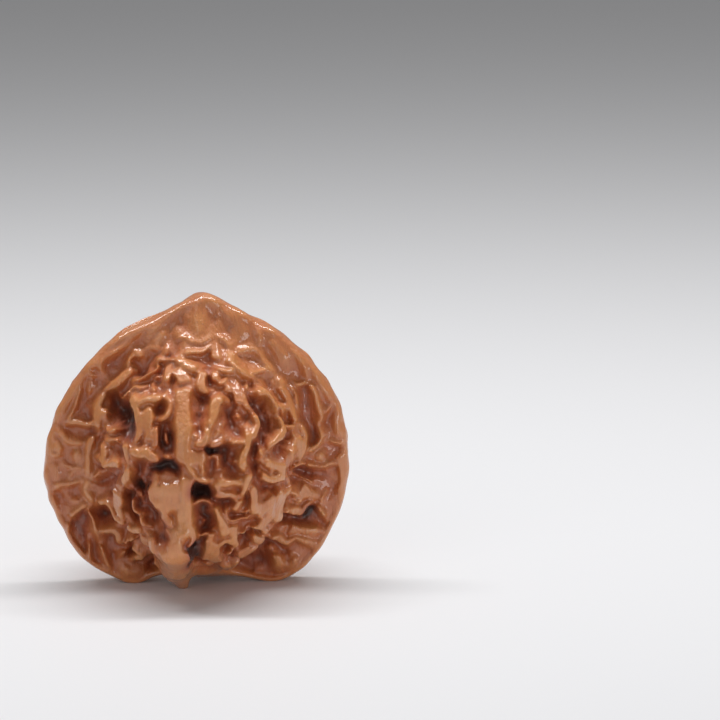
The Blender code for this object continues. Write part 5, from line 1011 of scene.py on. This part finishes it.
ROUGHNESS = (0.38, 0.60)    # on the crests and from this depth down
ROUGH_DEPTH = 2.4
FLECK_ROUGHNESS = 0.04
GRAIN_RELIEF = 1.3          # the grain's height beside the wrinkles'
RELIEF_HEIGHT = 0.10        # of the wrinkles and the grain
SKIN_RELIEF = 0.5           # how strongly the shell shows them
GLOSS_RELIEF = 0.06         # and its gloss
LEAST_SHADED_DEPTH = 1.8           # a hollow listed as less deep than this gets no painted shade or patina
PIT_SHADE_WIDTH = 1.25           # how far from its bottom the painted shade and patina thin out
AVERAGING = 14              # rounds of averaging that tell a crest from the hollow beside it


def neighbours_mean(values, edges, count):
    total = np.bincount(edges[:, 0], values[edges[:, 1]], count)
    total += np.bincount(edges[:, 1], values[edges[:, 0]], count)
    return total / np.maximum(np.bincount(edges.ravel(), minlength=count), 1)


def pit_shade_and_patina_of(points):
    """How much painted shade and patina darken each point, which happens in the deepest of the hollows."""
    found = np.empty(len(points))
    for face, _, _, places in both_faces(points, onto_form(points)):
        away, listed = hollows_near(strayed(places))
        found[face] = np.maximum(listed - LEAST_SHADED_DEPTH, 0.0) * bump(away, PIT_SHADE_WIDTH)
    return found


def mark_depths(made):
    """Three values at each point for the finish.

    They are how deep it lies, how far it stands over what is round it, and how much painted shade and patina
    it gets in the deepest hollows.
    """
    points = points_of(made) + (0.0, 0.0, GROUND)
    depth = -main_form(points)
    edges = np.empty(2 * len(made.data.edges), np.int32)
    made.data.edges.foreach_get("vertices", edges)
    edges = edges.reshape(-1, 2)
    around = depth
    for _ in range(AVERAGING):
        around = neighbours_mean(around, edges, len(depth))
    for name, values in (("depth", depth), ("stands_out", around - depth), ("pit_shade_and_patina", pit_shade_and_patina_of(points))):
        mark = made.data.attributes.new(name, "FLOAT", "POINT")
        mark.data.foreach_set("value", values.astype(np.float32))


def light_of(colour):
    """A screen's colour as the amounts of light that a shader takes."""
    shares = [part / 255.0 for part in colour]
    return [part / 12.92 if part < 0.04045 else ((part + 0.055) / 1.055) ** 2.4 for part in shares] + [1.0]


def add_node(tree, kind, **settings):
    node = tree.nodes.new("ShaderNode" + kind)
    for name, value in settings.items():
        setattr(node, name, value)
    return node


def attribute(tree, name):
    return add_node(tree, "Attribute", attribute_name=name).outputs["Fac"]


def sum_of(tree, first, second, share):
    """first + share x second"""
    node = add_node(tree, "Math", operation="MULTIPLY_ADD")
    tree.links.new(second, node.inputs[0])
    node.inputs[1].default_value = share
    tree.links.new(first, node.inputs[2])
    return node.outputs[0]


def spread(tree, value, low, high, to_low=0.0, to_high=1.0):
    node = add_node(tree, "MapRange")
    tree.links.new(value, node.inputs["Value"])
    for name, amount in (("From Min", low), ("From Max", high), ("To Min", to_low), ("To Max", to_high)):
        node.inputs[name].default_value = amount
    return node.outputs["Result"]


def noise(tree, place, size, detail=2.0, roughness=0.55):
    """Noise about zero whose features measure size millimetres, or one size for each axis."""
    sizes = size if isinstance(size, tuple) else (size,) * 3
    mapping = add_node(tree, "Mapping")
    mapping.inputs["Scale"].default_value = [1.0 / (part * MM) for part in sizes]
    tree.links.new(place, mapping.inputs["Vector"])
    node = add_node(tree, "TexNoise")
    node.inputs["Scale"].default_value = 1.0
    node.inputs["Detail"].default_value = detail
    node.inputs["Roughness"].default_value = roughness
    tree.links.new(mapping.outputs["Vector"], node.inputs["Vector"])
    return spread(tree, node.outputs["Fac"], *MIDDLE_NOISE, -1.0, 1.0)


def raised(tree, height, strength):
    node = add_node(tree, "Bump")
    node.inputs["Strength"].default_value = strength
    node.inputs["Distance"].default_value = RELIEF_HEIGHT * MM
    tree.links.new(height, node.inputs["Height"])
    return node.outputs["Normal"]


def polished_shell_with_painted_shade():
    """Shell darkened by skin oil: reddish brown, lighter on the rubbed crests, nearly black in the pits. Part
    of that is painted: painted highlight on the crests and painted shade in the hollows and pits.
    """
    material = bpy.data.materials.new("Polished walnut shell with painted shade")
    material.use_nodes = True
    tree = material.node_tree
    surface = tree.nodes["Principled BSDF"]
    place = add_node(tree, "TexCoord").outputs["Object"]
    mottle = noise(tree, place, MOTTLE_SIZE)
    fleck = noise(tree, place, FLECK_SIZE, detail=3.0, roughness=0.6)
    grain = noise(tree, place, GRAIN_SIZE, detail=3.0, roughness=0.6)
    wrinkle = noise(tree, place, WRINKLE_SIZE, detail=4.0, roughness=0.6)

    # Darker with depth: patina, and painted shade in the hollows
    sunk = attribute(tree, "depth")
    # Painted highlight on the crests, painted shade in the hollows, with some crest wear
    sunk = sum_of(tree, sunk, attribute(tree, "stands_out"), WEAR_AND_SHADE)
    # Painted shade, with patina, in the deepest pits
    sunk = sum_of(tree, sunk, attribute(tree, "pit_shade_and_patina"), PIT_SHADE_AND_PATINA)
    sunk = sum_of(tree, sunk, mottle, MOTTLE)
    sunk = sum_of(tree, sunk, fleck, FLECK)
    sunk = sum_of(tree, sunk, grain, GRAIN)
    ramp = add_node(tree, "ValToRGB")
    tree.links.new(spread(tree, sunk, HIGHEST, DEEPEST), ramp.inputs["Fac"])
    stops = ramp.color_ramp.elements
    for position in SHELL_PLACES[1:-1]:
        stops.new(position)
    for stop, colour in zip(stops, SHELL_AND_SHADE_COLOURS):
        stop.color = light_of(colour)
    tree.links.new(ramp.outputs["Color"], surface.inputs["Base Color"])

    polish = spread(tree, sunk, HIGHEST, ROUGH_DEPTH, *ROUGHNESS)
    tree.links.new(sum_of(tree, polish, fleck, FLECK_ROUGHNESS), surface.inputs["Roughness"])

    relief = sum_of(tree, wrinkle, grain, GRAIN_RELIEF)
    tree.links.new(raised(tree, relief, SKIN_RELIEF), surface.inputs["Normal"])
    tree.links.new(raised(tree, relief, GLOSS_RELIEF), surface.inputs["Coat Normal"])

    surface.inputs["Subsurface Weight"].default_value = 0.18
    surface.inputs["Subsurface Radius"].default_value = (1.0, 0.38, 0.16)
    surface.inputs["Subsurface Scale"].default_value = 1.2 * MM
    surface.inputs["Coat Weight"].default_value = 0.9
    surface.inputs["Coat Roughness"].default_value = 0.05
    surface.inputs["Coat IOR"].default_value = 1.48
    return material


def make_walnut():
    walnut = shell("Walnut_shell", FIRST_SPHERE, FIRST_VOXEL, LAST_VOXEL, MOST_TRIANGLES)
    mark_depths(walnut)
    walnut.data.shade_smooth()
    walnut.data.materials.append(polished_shell_with_painted_shade())
    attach(walnut, "root")
    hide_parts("walnut")


# The studio
EYE_TURN = math.radians(2.6)         # how far to the right of straight ahead the camera looks
EYE_TILT = math.radians(12.0)        # how far down it looks
LENS = 184.7                         # millimetres on a 36 mm sensor
FLOOR_HALF = 3.0
FLOOR_COLOUR = (226, 226, 228)
# Each light: name, place in metres, width and depth, power in watts
LIGHTS = (
    ("Overhead_softbox", (0.0, 0.07, 0.42), (0.64, 0.045), 2.2),
    ("Left_fill", (-0.40, -0.55, 0.32), (0.50, 0.50), 0.68),
    ("Right_fill", (0.50, -0.50, 0.10), (0.40, 0.20), 1.00),
)
AIM = (0.0, 0.0, 0.02)
SKY = 0.24


def place_camera():
    data = bpy.data.cameras.new("Camera")
    data.lens = LENS
    data.clip_start = 0.01
    camera = bpy.data.objects.new("Camera", data)
    bpy.context.scene.collection.objects.link(camera)
    ahead = Vector((
        math.sin(EYE_TURN) * math.cos(EYE_TILT),
        math.cos(EYE_TURN) * math.cos(EYE_TILT),
        -math.sin(EYE_TILT),
    ))
    right = Vector((math.cos(EYE_TURN), -math.sin(EYE_TURN), 0.0))
    up = right.cross(ahead)
    turned = Matrix((right, up, -ahead)).transposed().to_4x4()
    eye = Vector((EYE[0], EYE[1], EYE[2] - GROUND)) * MM
    camera.matrix_world = Matrix.Translation(eye) @ turned
    bpy.context.scene.camera = camera


def lay_floor():
    half = FLOOR_HALF
    mesh = bpy.data.meshes.new("Studio_floor")
    corners = [(-half, -half, 0.0), (half, -half, 0.0), (half, half, 0.0), (-half, half, 0.0)]
    mesh.from_pydata(corners, [], [(0, 1, 2, 3)])
    floor = bpy.data.objects.new("Studio_floor", mesh)
    bpy.context.scene.collection.objects.link(floor)
    material = bpy.data.materials.new("Pale matt floor")
    material.use_nodes = True
    surface = material.node_tree.nodes["Principled BSDF"]
    surface.inputs["Base Color"].default_value = light_of(FLOOR_COLOUR)
    surface.inputs["Roughness"].default_value = 0.6
    mesh.materials.append(material)


def hang_lights():
    for name, place, size, power in LIGHTS:
        data = bpy.data.lights.new(name, "AREA")
        data.shape = "RECTANGLE"
        data.size, data.size_y = size
        data.energy = power
        light = bpy.data.objects.new(name, data)
        light.location = place
        light.rotation_euler = (Vector(place) - Vector(AIM)).to_track_quat("Z", "Y").to_euler()
        bpy.context.scene.collection.objects.link(light)
    world = bpy.data.worlds.new("Studio")
    world.use_nodes = True
    background = world.node_tree.nodes["Background"]
    background.inputs["Color"].default_value = (1.0, 1.0, 1.0, 1.0)
    background.inputs["Strength"].default_value = SKY
    bpy.context.scene.world = world


make_walnut()
place_camera()
lay_floor()
hang_lights()
bpy.context.scene.view_settings.view_transform = "Standard"
